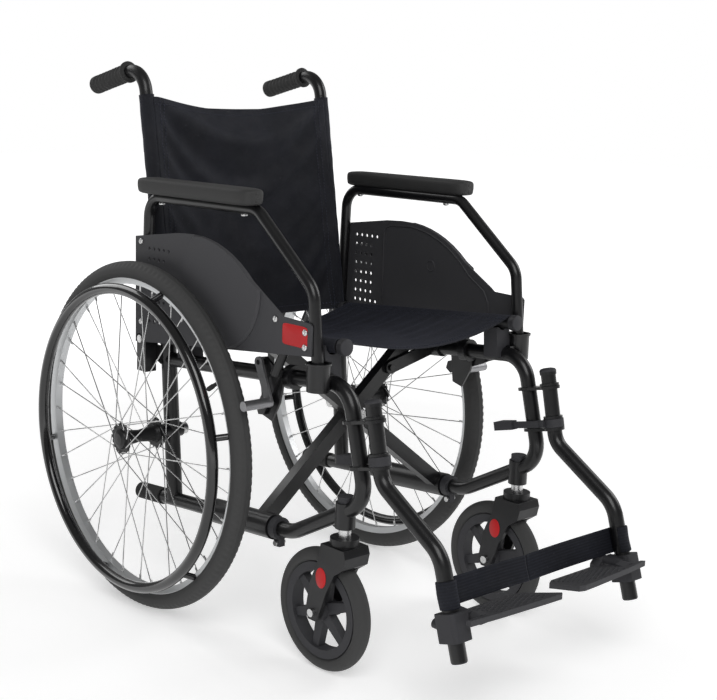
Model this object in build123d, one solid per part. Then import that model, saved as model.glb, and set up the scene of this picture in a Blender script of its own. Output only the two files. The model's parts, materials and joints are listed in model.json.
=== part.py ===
"""Folding manual wheelchair, modelled as separate pieces in millimetres.

+Z is up and the chair faces -Y. Positions are first given as (x, f, z): x across the chair,
f forward of the rear axle and z above the floor. place() turns them into the part's own frame,
whose origin is on the floor under the middle of the overall box. "right" and "left" are the
sitter's own, so the right side is at -X.
"""
from build123d import *
import os
from math import atan2, cos, degrees, hypot, pi, radians, sin, sqrt, tan

os.makedirs("parts", exist_ok=True)

# ---- driving dimensions ------------------------------------------------------------------
# clearances
FIT = 0.06            # radial clearance of a pin or shaft that turns in its hole
GAP = 0.5             # clearance between faces that pass each other
SOFT_GAP = 0.4        # clearance between cloth and the tube that carries it

# rear wheel
WHEEL_R = 305.0
TYRE_R = 17.5
RIM_W = 24.0
RIM_DEPTH = 20.0
WHEEL_X = 274.0       # tyre's middle plane from the chair's middle
SPOKES = 36
SPOKE_D = 2.0
HUB_HALF = 36.0       # from the tyre's middle plane to each hub flange
FLANGE_R = 27.0
AXLE_D = 12.0
AXLE_SLEEVE_D = 26.0
AXLE_IN = 171.0       # inner end of the axle from the chair's middle
HANDRIM_R = 260.0
HANDRIM_D = 19.0
HANDRIM_OUT = 36.6    # handrim's plane outboard of the tyre's
STANDOFFS = 6

# side frame
FRAME_X = 203.0       # tube plane from the chair's middle
PITCH = 4.5           # nose-up tilt of the lower tube, upper tube and seat rail, in degrees
TUBE_D = 25.0
TUBE_WALL = 2.0
POST_D = 28.0
CANE_D = 22.8
LOWER_Z = 179.0       # lower tube's height over the axle
UPPER_H = 253.0       # upper tube above the lower one, square to it
RAIL_H = 309.0        # seat rail above the lower tube, square to it
STUB_F = -85.0        # rear end of the lower tube
KINK_F = 335.0        # lower tube turns up here
LOW_CORNER = (500.0, 295.0)
TOP_CORNER_F = 455.0
POST_FOOT_F = 10.0
POST_LEAN = 4.5       # degrees, top to the rear
POST_TOP_Z = 460.0
FRAME_BENDS = (80.0, 46.0, 48.0)   # centre-line radii of the tube loop
CANE_BENDS = (60.0, 42.0)

# back and push handles
BACK_BEND_Z = 474.0
BACK_LEAN = 9.4
BACK_TOP_Z = 890.0
BACK_BOTTOM_Z = 488.0
HANDLE_Z = 937.0
HANDLE_DROP = 13.0    # degrees, falling to the rear
HANDLE_LEN = 154.0
GRIP_D = 32.0
GRIP_LEN = 112.0

# seat and cross brace
RAIL_X = 197.0
RAIL_D = 22.0
RAIL_REAR_F = 16.0
RAIL_FRONT_F = 430.0
RAIL_CAP = 10.0
SADDLES = (66.0, 420.0)   # places of the seat saddles along the upper tube
CLOTH = 1.6
BRACE_S = 262.0       # place of the cross brace along the lower tube
BAR_W = 20.0
BAR_D = 25.0
SLEEVE_D = 42.0
SLEEVE_FROM = 132.0
SLEEVE_TO = 290.0
PIVOT_D = 10.0
FOLD_TRAVEL = 155.0   # each side frame comes in this far when folded
BAR_OFF = BAR_W / 2 + 0.5   # each bar's plane from the brace's middle, along the lower tube
LINK_W = 22.0
LINK_T = 6.0

# casters
CASTER_R = 100.0
CASTER_TYRE_R = 14.0
CASTER_F = 414.0
STEM_F = 455.5
STEM_D = 12.0
FORK_TOP_Z = 230.0
FORK_W = 52.0
FORK_LEG = 8.0

# armrest
ARM_X = 232.0
ARM_D = 19.0
ARM_PIVOT = (-40.0, 468.0)
ARM_TOP_Z = 718.0
ARM_POINTS = ((-40.0, 440.0), (-29.0, ARM_TOP_Z), (266.0, ARM_TOP_Z), (402.0, 608.0), (418.5, 463.0))
ARM_BENDS = (38.0, 34.0, 40.0)
SOCKET_D = 36.0
SOCKET_LOW = 456.0
SOCKET_HIGH = 500.0
PAD_X = 243.0
PAD_W = 46.0
PAD_T = 27.0
PAD_FROM = -30.0
PAD_TO = 276.0
PANEL_X = 242.5       # inner face of the side panel
PANEL_T = 3.0
BOSS_R = 103.0
BOSS_H = 5.0

# hangers and footplates
HANGER_X = 203.0
HANGER_D = 25.0
HANGER_TOP = (508.0, 446.0)
HANGER_KNEE = (533.0, 334.0)
HANGER_SHIN = (656.0, 257.0)
HANGER_END = (701.0, 111.0)
HANGER_BENDS = (38.0, 55.0)
LUG_TOP_Z = 425.0
LUG_LOW_Z = 357.0
STRAP_T = 2.4
STRAP_H = 42.0
CLAMP_Z = 159.0       # height of the footplate clamp's middle
HINGE_Z = 172.0       # height of the footplate's hinge pin
STRAP_Z = 203.0
PLATE_REACH = 155.0     # from the footplate's hinge to its inner edge
PLATE_T = 9.0
PLATE_LEAN = 15.0       # degrees, front edge up
PLATE_REAR_F = 657.0
PLATE_FRONT_F = 741.0
WING_REAR_F = 713.0     # the front corner beside the hanger starts here
WING_OUT = 3.0          # and ends this far outboard of the hanger's plane
EAR_FROM = 15.5         # hinge ears lie between these distances from the hinge's middle
EAR_TO = 33.0
EAR_D = 15.0
HINGE_IN = 27.0       # footplate hinge inboard of the hanger tube

# wheel locks
BRAKE_PIVOT = (292.0, 425.0)
BRAKE_TIP = (343.0, 513.5)
BRAKE_THROW = 40.0    # degrees, handle forward
LOCK_X = FRAME_X + TUBE_D / 2 + 9.0   # outer face of the lock's plate
LEVER_T = 5.0
SHOE_T = 5.0
SHOE_PIVOT = (277.0, 478.0)
SHOE_D = 16.0
SHOE_OPEN = 11.0      # gap between shoe and tyre when the lock is off
SHOE_SHUT = 1.0

MID_F = (PLATE_FRONT_F - WHEEL_R) / 2

# ---- worked-out frame geometry -----------------------------------------------------------
PC = cos(radians(PITCH))
PS = sin(radians(PITCH))


def place(x, f, z):
    """Point of the part's frame for x across, f forward of the rear axle, z up."""
    return Vector(x, MID_F - f, z)


def incline(s, h):
    """(f, z) of the point s along the lower tube and h square above it."""
    return (s * PC - h * PS, LOWER_Z + s * PS + h * PC)


def at_f(f, h):
    """(f, z) on the line h above the lower tube, at f."""
    s = (f + h * PS) / PC
    return incline(s, h)


def post_f(z):
    """f of the rear post's line at height z."""
    return POST_FOOT_F - (z - LOWER_Z) * sin(radians(POST_LEAN)) / cos(radians(POST_LEAN))


def back_f(z):
    """f of the back cane's line at height z, above its bend."""
    return post_f(BACK_BEND_Z) - (z - BACK_BEND_Z) * sin(radians(BACK_LEAN)) / cos(radians(BACK_LEAN))


ALONG = Vector(0, -PC, PS)       # forward along the lower tube
SQUARE = Vector(0, PS, PC)       # square above it
UPPER_REAR = at_f(-8.0, UPPER_H)
UPPER_FRONT = at_f(TOP_CORNER_F, UPPER_H)
BAR_C_H = RAIL_H * FRAME_X / (FRAME_X + RAIL_X)
HALF_BAR = hypot(FRAME_X, BAR_C_H)
FOLD_REST = degrees(atan2(BAR_C_H, FRAME_X))
# the fold link is equally long open and folded when its hole is this far up the bar
FOLD_SIN = (BAR_C_H + sqrt(HALF_BAR ** 2 - (FRAME_X - FOLD_TRAVEL) ** 2)) / (2 * HALF_BAR)
LINK_R = FOLD_SIN * 4 * HALF_BAR ** 2 / (4 * FOLD_SIN * HALF_BAR - UPPER_H)


# ---- general helpers ---------------------------------------------------------------------
def line_of(points, radii):
    """Polyline through points with its corners rounded to radii."""
    if len(points) == 2:
        return Line(points[0], points[1])
    return FilletPolyline(*points, radius=radii)


def rod(points, radii, d):
    """Round bar of diameter d along a rounded polyline."""
    path = line_of(points, radii)
    start = Plane(origin=path @ 0, z_dir=path % 0)
    return sweep(start * Circle(d / 2), path=path)


def cylinder(start, end, d):
    """Round bar from start to end."""
    axis = end - start
    return Solid.make_cylinder(d / 2, axis.length, Plane(origin=start, z_dir=axis.normalized()))


def ring(start, end, outer, inner):
    """Round tube from start to end."""
    axis = (end - start).normalized()
    return cylinder(start, end, outer) - cylinder(start - axis, end + axis, inner)


def cross(x0, x1, f, z, d):
    """Round bar across the chair."""
    return cylinder(place(x0, f, z), place(x1, f, z), d)


def side_plate(x0, x1, outline):
    """Flat plate between x0 and x1 with the outline given as (f, z) points."""
    face = Face(Wire.make_polygon([place(x0, f, z) for f, z in outline], close=True))
    return extrude(face, amount=abs(x1 - x0), dir=Vector(1 if x1 > x0 else -1, 0, 0))


def turned(profile, x, f, z):
    """Body turned about the line across the chair through (f, z), from (x, radius) points."""
    pts = [place(x + px, f, z + pr) for px, pr in profile]
    face = Face(Wire.make_polygon(pts, close=True))
    return revolve(face, Axis(place(x, f, z), (1, 0, 0)), 360)


def spin_x(shape, f, z, degrees_up):
    """Shape turned about the line across the chair through (f, z), nose up for positive."""
    return shape.rotate(Axis(place(0, f, z), (1, 0, 0)), -degrees_up)


def group(*shapes):
    """Several separate solids kept in one node."""
    solids = []
    for shape in shapes:
        solids.extend(shape.solids())
    return Compound(children=[Solid(s.wrapped) for s in solids])


# ---- side frame --------------------------------------------------------------------------
def frame_tubes(x, d_cut):
    """The frame's tubes as solid bars, d_cut smaller than the outside diameter."""
    points = [at_f(STUB_F, 0), at_f(KINK_F, 0), LOW_CORNER, UPPER_FRONT, UPPER_REAR]
    return rod([place(x, f, z) for f, z in points], FRAME_BENDS, TUBE_D - d_cut)


def post_bar(x, d, top):
    """Rear post as a solid bar up to height top."""
    foot = LOWER_Z + POST_FOOT_F * PS
    return cylinder(place(x, post_f(foot), foot), place(x, post_f(top), top), d)


def cane_path(x):
    """Points of the back cane from inside the post to the end of the push handle."""
    drop = radians(HANDLE_DROP)
    corner = (back_f(HANDLE_Z), HANDLE_Z)
    end = (corner[0] - HANDLE_LEN * cos(drop), corner[1] - HANDLE_LEN * sin(drop))
    low = BACK_BEND_Z - 110.0
    pts = [(post_f(low), low), (post_f(BACK_BEND_Z), BACK_BEND_Z), corner, end]
    return [place(x, f, z) for f, z in pts]


def rear_arm_plate(side):
    """Plate on the post that carries the armrest's pivot."""
    x0 = side * (FRAME_X + POST_D / 2 - 4)
    x1 = side * (ARM_X - ARM_D / 2 - 3.0 - GAP)
    f, z = ARM_PIVOT
    outline = [(f - 12, z - 14), (f - 12, z + 12), (f + 10, z + 12), (f + 10, z - 12),
               (post_f(z), z - 12), (post_f(z), z - 44), (f + 8, z - 36)]
    return side_plate(x0, x1, outline)


def arm_leg_f(z):
    """f of the armrest's front leg at height z."""
    (f0, z0), (f1, z1) = ARM_POINTS[-2], ARM_POINTS[-1]
    return f0 + (f1 - f0) * (z0 - z) / (z0 - z1)


def front_socket(side):
    """Flanged cup that the armrest's front leg drops into."""
    f, z = arm_leg_f((SOCKET_LOW + SOCKET_HIGH) / 2), SOCKET_LOW
    bore = SOCKET_D - 5.0
    low = place(side * ARM_X, f, z)
    high = place(side * ARM_X, f, SOCKET_HIGH)
    cup = cylinder(low, high, SOCKET_D)
    cup += cylinder(place(side * ARM_X, f, SOCKET_HIGH - 3), high, SOCKET_D + 4)
    foot = [(f - 14, z), (f - 14, z + 24), (f + 6, z + 24), (f + 6, z)]
    cup += side_plate(side * FRAME_X, side * ARM_X, foot)
    return cup, cylinder(low + Vector(0, 0, 4), high + Vector(0, 0, 1), bore)


def hanger_axis(z):
    """f of the hanger's upper tube at height z."""
    (f0, z0), (f1, z1) = HANGER_TOP, HANGER_KNEE
    return f0 + (f1 - f0) * (z0 - z) / (z0 - z1)


def upright_f(z):
    """f of the frame's front upright at height z."""
    (f0, z0), (f1, z1) = UPPER_FRONT, LOW_CORNER
    return f0 + (f1 - f0) * (z0 - z) / (z0 - z1)


def hanger_dir():
    """Unit direction up the hanger's upper tube."""
    (f0, z0), (f1, z1) = HANGER_TOP, HANGER_KNEE
    return Vector(0, -(f0 - f1), z0 - z1).normalized()


def lug(side, z, thick):
    """Plate that holds the hanger's upper tube in a ring, at height z."""
    x = side * FRAME_X
    up = hanger_dir()
    centre = place(x, hanger_axis(z), z)
    plane = Plane(origin=centre, x_dir=Vector(1, 0, 0), z_dir=up)
    reach = abs(upright_f(z) - hanger_axis(z))
    outer = HANGER_D / 2 + 4.5
    flat = Circle(outer) + Pos(0, reach / 2) * Rectangle(outer * 1.7, reach)
    flat += Pos(0, reach) * Circle(outer)
    return extrude(plane * flat, amount=thick / 2, both=True)


def side_frame(side):
    """Welded frame of one side: tube loop, rear post, sockets, lugs and caster housing."""
    x = side * FRAME_X
    inner = TUBE_D - 2 * TUBE_WALL
    post_in = CANE_D + 2 * FIT
    body = frame_tubes(x, 0) + post_bar(x, POST_D, POST_TOP_Z)
    stem_z = front_lower_z(STEM_F)
    housing = cylinder(place(x, STEM_F, stem_z - 26), place(x, STEM_F, stem_z + 15), STEM_D + 20)
    body += housing
    axle = cross(side * (AXLE_IN + 14), side * (WHEEL_X - HUB_HALF - 7), 0, WHEEL_R, AXLE_SLEEVE_D)
    body += axle
    body += rear_arm_plate(side)
    cup, bore = front_socket(side)
    body += cup
    body += lug(side, LUG_TOP_Z, 5.0)
    body += lug(side, LUG_LOW_Z, 5.0)
    body -= frame_tubes(x, 2 * TUBE_WALL)
    body -= post_bar(x, post_in, POST_TOP_Z + 1)
    body += housing_wall(x, stem_z)
    body += axle_wall(side)
    body -= bore
    top = place(x, *HANGER_TOP)
    body -= cylinder(top + hanger_dir() * 20, place(x, *HANGER_KNEE), HANGER_D + 2 * FIT)
    body -= cylinder(place(x, STEM_F, stem_z - 30), place(x, STEM_F, stem_z + 12), STEM_D + 2 * FIT)
    body -= cross(side * (AXLE_IN + 10), side * WHEEL_X, 0, WHEEL_R, AXLE_D)
    body -= cross(side * FRAME_X, side * (ARM_X + 20), *ARM_PIVOT, 8.0)
    return body


def front_lower_z(f):
    """Height of the lower tube's front stretch at f."""
    k = at_f(KINK_F, 0)
    return k[1] + (LOW_CORNER[1] - k[1]) * (f - k[0]) / (LOW_CORNER[0] - k[0])


def housing_wall(x, stem_z):
    """Caster housing that runs through the tube."""
    return cylinder(place(x, STEM_F, stem_z - 26), place(x, STEM_F, stem_z + 15), STEM_D + 20)


def axle_wall(side):
    """Axle sleeve that runs through the post."""
    return cross(side * (AXLE_IN + 14), side * (WHEEL_X - HUB_HALF - 7), 0, WHEEL_R, AXLE_SLEEVE_D)


def back_cane(side):
    """Bent tube of the back and push handle, standing in the rear post."""
    pts = cane_path(side * FRAME_X)
    tube = rod(pts, CANE_BENDS, CANE_D)
    last = (pts[-1] - pts[-2]).normalized()
    first = (pts[0] - pts[1]).normalized()
    core = [pts[0] + first * 3, pts[1], pts[2], pts[3] + last * 3]
    return tube - rod(core, CANE_BENDS, CANE_D - 2 * TUBE_WALL)


def push_grip(side):
    """Ribbed rubber grip closed over the end of the push handle."""
    pts = cane_path(side * FRAME_X)
    back = (pts[3] - pts[2]).normalized()
    end = pts[3] + back * 4
    start = end - back * GRIP_LEN
    body = cylinder(start, end, GRIP_D)
    body += cylinder(start, start + back * 5, GRIP_D + 6)
    for i in range(5):
        at = start + back * (16 + i * 19)
        groove = Solid.make_torus(GRIP_D / 2 + 3.0, 5.0, Plane(origin=at, z_dir=back))
        body -= groove
    return body - cylinder(start - back, pts[3], CANE_D)


def frame_fittings(side, frame):
    """Plastic fittings of one side: two seat saddles, post collar, stem cap, lower collar."""
    x = side * FRAME_X
    rail = side * RAIL_X
    groove = RAIL_D / 2 + CLOTH + 2 * SOFT_GAP
    saddles = []
    for s in SADDLES:
        box = side_plate(side * (RAIL_X - groove - 3), side * (RAIL_X + groove + 3),
                         slab(s, 15, UPPER_H - 4, RAIL_H + 2))
        lo, hi = incline(s - 40, RAIL_H), incline(s + 40, RAIL_H)
        box -= cylinder(place(rail, *lo), place(rail, *hi), 2 * groove)
        box -= side_plate(side * (RAIL_X - groove), side * (RAIL_X + groove), slab(s, 20, RAIL_H, RAIL_H + 9))
        box -= side_plate(side * (RAIL_X - groove - 5), rail, slab(s, 20, RAIL_H - 8, RAIL_H + 9))
        saddles.append(box - frame)
    up = (place(x, post_f(POST_TOP_Z), POST_TOP_Z) - place(x, post_f(400), 400)).normalized()
    top = place(x, post_f(POST_TOP_Z), POST_TOP_Z)
    collar = ring(top, top + up * 9, POST_D + 3, CANE_D)
    stem_z = front_lower_z(STEM_F) + 12
    cap = cylinder(place(x, STEM_F, stem_z), place(x, STEM_F, stem_z + 13), STEM_D + 14) - frame
    mid = SLEEVE_TO + 9.5
    a, b = incline(mid - 7, 0), incline(mid + 7, 0)
    lower = ring(place(x, *a), place(x, *b), TUBE_D + 12, TUBE_D)
    ear = side_plate(x - 6, x + 6, slab(mid, 7, -30, -16))
    lower = lower + (ear - cylinder(place(x, *a), place(x, *b), TUBE_D))
    lower -= cross(x - 20, x + 20, *incline(mid, -24), 5.0)
    return group(*saddles, collar, cap, lower)


def slab(s, half, low, high):
    """Outline of a block on the incline: half its length each way from s, from low to high."""
    return [incline(s - half, low), incline(s + half, low), incline(s + half, high), incline(s - half, high)]


def frame_bolts(side):
    """Metal fasteners of one side: rear axle with its nut, collar bolt, armrest pivot bolt."""
    a = side
    axle = cross(a * AXLE_IN, a * (WHEEL_X + HUB_HALF - 4), 0, WHEEL_R, AXLE_D)
    nut = cross(a * (AXLE_IN + 3), a * (AXLE_IN + 12), 0, WHEEL_R, 21)
    axle += nut
    x = a * FRAME_X
    f, z = incline(SLEEVE_TO + 9.5, -24)
    bolt = cross(x - 10, x + 10, f, z, 5.0)
    bolt += cross(x - 10, x - 6, f, z, 9.0) + cross(x + 6, x + 10, f, z, 9.0)
    f, z = ARM_PIVOT
    pin = cross(a * (FRAME_X + POST_D / 2 - 4), a * (ARM_X + 13), f, z, 8.0)
    pin += cross(a * (ARM_X + 10 + GAP), a * (ARM_X + 14), f, z, 14.0)
    return group(axle, bolt, pin)


def stub_sleeve(side):
    """Ribbed rubber sleeve closed over the rear end of the lower tube."""
    x = side * FRAME_X
    a, b = at_f(STUB_F - 8, 0), at_f(STUB_F + 62, 0)
    body = cylinder(place(x, *a), place(x, *b), TUBE_D + 5)
    c = at_f(STUB_F, 0)
    body -= cylinder(place(x, *c), place(x, *at_f(STUB_F + 80, 0)), TUBE_D)
    for i in range(4):
        p = place(x, *at_f(STUB_F + 4 + i * 9, 0))
        body -= Solid.make_torus(TUBE_D / 2 + 3.4, 1.8, Plane(origin=p, z_dir=ALONG))
    return body


# ---- rear wheel --------------------------------------------------------------------------
def arc_points(r, cx, cr, a0, a1, n):
    """Points of an arc in (x, radius) coordinates."""
    out = []
    for i in range(n + 1):
        a = radians(a0 + (a1 - a0) * i / n)
        out.append((cx + r * cos(a), cr + r * sin(a)))
    return out


def rim_edge():
    """Radius of the rim's outer edge, where the tyre shows."""
    return WHEEL_R - TYRE_R * 1.1


def tyre(side):
    """Tyre: round tread seated between the rim's edges."""
    edge = rim_edge()
    mid = WHEEL_R - TYRE_R
    half = sqrt(TYRE_R ** 2 - (edge - mid) ** 2)
    a = degrees(atan2(edge - mid, half))
    bead = RIM_W / 2 - 2.0
    seat = edge - 8
    profile = arc_points(TYRE_R, 0, mid, a, 180 - a, 28)
    profile += [(-bead, edge), (-bead, seat), (bead, seat), (bead, edge)]
    return turned(profile, side * WHEEL_X, 0, WHEEL_R)


def rim(side):
    """Aluminium rim: channel with a sunk well."""
    w, e = RIM_W / 2, rim_edge()
    well = e - RIM_DEPTH
    profile = [(w, e), (w, e - 10), (w - 5, well), (-w + 5, well), (-w, e - 10), (-w, e),
               (-w + 2, e), (-w + 2, e - 9), (-w + 6.5, well + 2), (w - 6.5, well + 2),
               (w - 2, e - 9), (w - 2, e)]
    return turned(profile, side * WHEEL_X, 0, WHEEL_R)


def spokes(side):
    """Crossed wire spokes from the hub's flanges to the rim."""
    x = side * WHEEL_X
    out = []
    reach = rim_edge() - RIM_DEPTH - 0.6
    for i in range(SPOKES):
        flange = 1 if i % 2 else -1
        hub_a = radians(360.0 / SPOKES * i + (68 if (i // 2) % 2 else -68))
        rim_a = radians(360.0 / SPOKES * i)
        lift = 4.6 if (i // 2) % 2 else -2.6
        p = place(x + flange * (HUB_HALF + lift), 0, WHEEL_R)
        q = place(x + flange * 3.5, 0, WHEEL_R)
        start = p + Vector(0, cos(hub_a), sin(hub_a)) * (FLANGE_R - 3.5)
        end = q + Vector(0, cos(rim_a), sin(rim_a)) * reach
        out.append(cylinder(start, end, SPOKE_D))
    return group(*out)


def hub(side):
    """Hub: waisted barrel with two drilled flanges and a domed outer cap, bored for the axle."""
    x = side * WHEEL_X
    h = HUB_HALF
    profile = [(-h - 5, 0), (-h - 5, 12), (-h - 1.4, 12), (-h - 1.4, FLANGE_R), (-h + 1.4, FLANGE_R),
               (-h + 1.4, 17), (-h + 8, 14), (0, 10.5), (h - 8, 14), (h - 1.4, 17), (h - 1.4, FLANGE_R),
               (h + 1.4, FLANGE_R), (h + 1.4, 18), (h + 5, 16.5), (h + 7.5, 10), (h + 8.2, 0)]
    body = turned([(side * px, pr) for px, pr in profile], x, 0, WHEEL_R)
    for flange in (-h, h):
        for i in range(SPOKES // 2):
            a = 2 * pi / (SPOKES // 2) * (i + 0.5)
            f = FLANGE_R * cos(a)
            z = WHEEL_R + FLANGE_R * sin(a)
            body -= cross(x + flange - 3, x + flange + 3, f, z, 4.2)
    body -= cross(x - side * (h + 9), x + side * (h - 3), 0, WHEEL_R, AXLE_D + 2 * FIT)
    return body


def handrim(side):
    """Push rim and its six standoffs, which end on the wheel rim's side."""
    x = side * (WHEEL_X + HANDRIM_OUT)
    inner = side * (WHEEL_X + RIM_W / 2)
    torus = Solid.make_torus(HANDRIM_R, HANDRIM_D / 2, Plane(origin=place(x, 0, WHEEL_R), z_dir=(1, 0, 0)))
    legs = []
    foot_r = rim_edge() - 6.0
    for i in range(STANDOFFS):
        a = 2 * pi / STANDOFFS * i + radians(12)
        foot = place(side * WHEEL_X, foot_r * cos(a), WHEEL_R + foot_r * sin(a))
        leg = cylinder(foot, place(x, HANDRIM_R * cos(a), WHEEL_R + HANDRIM_R * sin(a)), 11)
        f, z = foot_r * cos(a), WHEEL_R + foot_r * sin(a)
        outline = [(f - 40, z - 40), (f + 40, z - 40), (f + 40, z + 40), (f - 40, z + 40)]
        legs.append(leg - side_plate(side * (WHEEL_X - 9), inner, outline) - torus)
    return group(torus, *legs)


# ---- casters -----------------------------------------------------------------------------
def caster_tyre(side):
    """Solid tyre of the front caster."""
    mid = CASTER_R - CASTER_TYRE_R
    profile = arc_points(CASTER_TYRE_R, 0, mid, -20, 200, 24)
    profile += [(-9, mid - 8), (9, mid - 8)]
    return turned(profile, side * FRAME_X, CASTER_F, CASTER_R)


def caster_wheel(side):
    """Six-spoke moulded caster wheel."""
    x = side * FRAME_X
    seat = CASTER_R - CASTER_TYRE_R - 8
    rim_ = turned([(-12, seat - 14), (12, seat - 14), (12, seat), (-12, seat)], x, CASTER_F, CASTER_R)
    hub_ = cross(x - 15, x + 15, CASTER_F, CASTER_R, 34)
    body = rim_ + hub_
    for i in range(6):
        a = 2 * pi / 6 * i + radians(20)
        c, s = cos(a), sin(a)
        r0, r1, w = 10, seat - 8, 6.5
        outline = [(CASTER_F + r0 * c - w * 1.5 * s, CASTER_R + r0 * s + w * 1.5 * c),
                   (CASTER_F + r1 * c - w * s, CASTER_R + r1 * s + w * c),
                   (CASTER_F + r1 * c + w * s, CASTER_R + r1 * s - w * c),
                   (CASTER_F + r0 * c + w * 1.5 * s, CASTER_R + r0 * s - w * 1.5 * c)]
        body += side_plate(x - 7, x + 7, outline)
    return body - cross(x - 20, x + 20, CASTER_F, CASTER_R, 8 + 2 * FIT)


def caster_fork(side):
    """Fork with a round crown and two legs swept back to the caster's axle."""
    x = side * FRAME_X
    top = FORK_TOP_Z - 12
    outline = [(STEM_F - 26, top), (STEM_F + 26, top), (STEM_F + 30, top - 12), (STEM_F + 26, top - 30),
               (STEM_F + 6, top - 44), (STEM_F - 12, top - 80), (CASTER_F + 15, CASTER_R),
               (CASTER_F + 9, CASTER_R - 13), (CASTER_F - 9, CASTER_R - 13), (CASTER_F - 16, CASTER_R),
               (CASTER_F - 8, top - 70), (STEM_F - 32, top - 30)]
    half = FORK_W / 2
    body = side_plate(x - half, x + half, outline)
    body += cylinder(place(x, STEM_F, top), place(x, STEM_F, FORK_TOP_Z), 46)
    body -= cross(x - half + FORK_LEG, x + half - FORK_LEG, CASTER_F, CASTER_R, 2 * (CASTER_R + 4))
    low = side_plate(x - half + FORK_LEG, x + half - FORK_LEG,
                     [(CASTER_F - 60, 60), (CASTER_F + 90, 60), (CASTER_F + 60, 160), (CASTER_F - 60, 160)])
    body -= low
    body -= cylinder(place(x, STEM_F, 150), place(x, STEM_F, FORK_TOP_Z + 5), STEM_D)
    body -= cross(x - half - 5, x + half + 5, CASTER_F, CASTER_R, 8)
    return body


def caster_bolts(side):
    """Caster stem with its washer and nut, and the caster's axle bolt."""
    x = side * FRAME_X
    stem_z = front_lower_z(STEM_F)
    stem = cylinder(place(x, STEM_F, FORK_TOP_Z - 18), place(x, STEM_F, stem_z + 10), STEM_D)
    stem += cylinder(place(x, STEM_F, FORK_TOP_Z), place(x, STEM_F, stem_z - 26 - GAP), 20)
    half = FORK_W / 2
    axle = cross(x - half - 5, x + half + 5, CASTER_F, CASTER_R, 8)
    axle += cross(x - half - 5, x - half, CASTER_F, CASTER_R, 13)
    axle += cross(x + half, x + half + 5, CASTER_F, CASTER_R, 13)
    return group(stem, axle)


# ---- cross brace and fold links ----------------------------------------------------------
def brace_point(x, h, off):
    """Point of the cross brace's plane: x across, h above the lower tube, off along it."""
    f, z = incline(BRACE_S + off, h)
    return place(x, f, z)


def cross_bar(side, off):
    """Brace bar from one side's lower tube to the other side's seat rail, with both ends."""
    a = brace_point(side * FRAME_X, 0, off)
    b = brace_point(-side * RAIL_X, RAIL_H, off)
    along = (b - a).normalized()
    plane = Plane(origin=a, z_dir=along, x_dir=ALONG)
    bar = extrude(plane * Rectangle(BAR_W, BAR_D), amount=(b - a).length)
    x = side * FRAME_X
    lo, hi = incline(SLEEVE_FROM, 0), incline(SLEEVE_TO, 0)
    sleeve = cylinder(place(x, *lo), place(x, *hi), SLEEVE_D)
    rail_x = -side * RAIL_X
    r0, r1 = at_f(RAIL_REAR_F, RAIL_H), at_f(RAIL_FRONT_F, RAIL_H)
    rail = cylinder(place(rail_x, *r0), place(rail_x, *r1), RAIL_D)
    above = slab(BRACE_S + off, 40, RAIL_H - 7, RAIL_H + 40)
    bar -= side_plate(rail_x - 40, rail_x + 40, above)
    body = bar + sleeve + rail
    lo, hi = incline(SLEEVE_FROM - 5, 0), incline(SLEEVE_TO + 5, 0)
    body -= cylinder(place(x, *lo), place(x, *hi), TUBE_D + 2 * FIT)
    c = brace_point(0, BAR_C_H, off)
    body -= cylinder(c - ALONG * 20, c + ALONG * 20, PIVOT_D + (0 if side < 0 else 2 * FIT))
    caps = []
    for end, way in ((place(rail_x, *r0), -1), (place(rail_x, *r1), 1)):
        caps.append(cylinder(end, end + ALONG * (RAIL_CAP * way), RAIL_D + 4))
    return group(body, *caps)


def pivot_bolt():
    """Bolt with a washer and a nut through both brace bars."""
    c = brace_point(0, BAR_C_H, 0)
    reach = BAR_W + 1.0 + GAP
    body = cylinder(c - ALONG * (reach + 5), c + ALONG * (reach + 5), PIVOT_D)
    body += cylinder(c - ALONG * (reach + 5), c - ALONG * (BAR_W + 0.5), 20)
    body += cylinder(c + ALONG * reach, c + ALONG * (reach + 5), 20)
    return body


def link_rest(side):
    """Ends of a fold link in the brace's plane: upper tube end and bar end, as (x, h)."""
    t = LINK_R / HALF_BAR
    x = FRAME_X - t * FRAME_X
    return (side * FRAME_X, UPPER_H), (-side * x, t * BAR_C_H)


def fold_link(side):
    """Flat link from a sleeve on the upper tube to the brace bar's upper half."""
    (ux, uh), (qx, qh) = link_rest(side)
    off = BAR_OFF * (1 if side < 0 else -1) + BAR_W / 2 + GAP
    lo = off
    u0, u1 = brace_point(ux, uh, lo), brace_point(ux, uh, lo + 26)
    sleeve = cylinder(u0, u1, TUBE_D + 8)
    q0, q1 = brace_point(qx, qh, lo), brace_point(qx, qh, lo + LINK_T)
    along = (q0 - u0).normalized()
    across = along.cross(ALONG).normalized()
    w = LINK_W / 2
    corners = [u0 + across * w, q0 + across * w, q0 - across * w, u0 - across * w]
    face = Face(Wire.make_polygon(corners, close=True))
    strip = extrude(face, amount=LINK_T, dir=ALONG)
    body = sleeve + strip + cylinder(q0, q1, LINK_W)
    body += cylinder(q1, q1 + ALONG * 4, 11)
    return body - cylinder(u0 - ALONG * 5, u1 + ALONG * 5, TUBE_D + 2 * FIT)



# ---- cloth -------------------------------------------------------------------------------
def cane_envelope(side, h0, h1, d):
    """Bar of diameter d round the back cane between two heights."""
    x = side * FRAME_X
    return cylinder(place(x, back_f(h0), h0), place(x, back_f(h1), h1), d)


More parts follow.
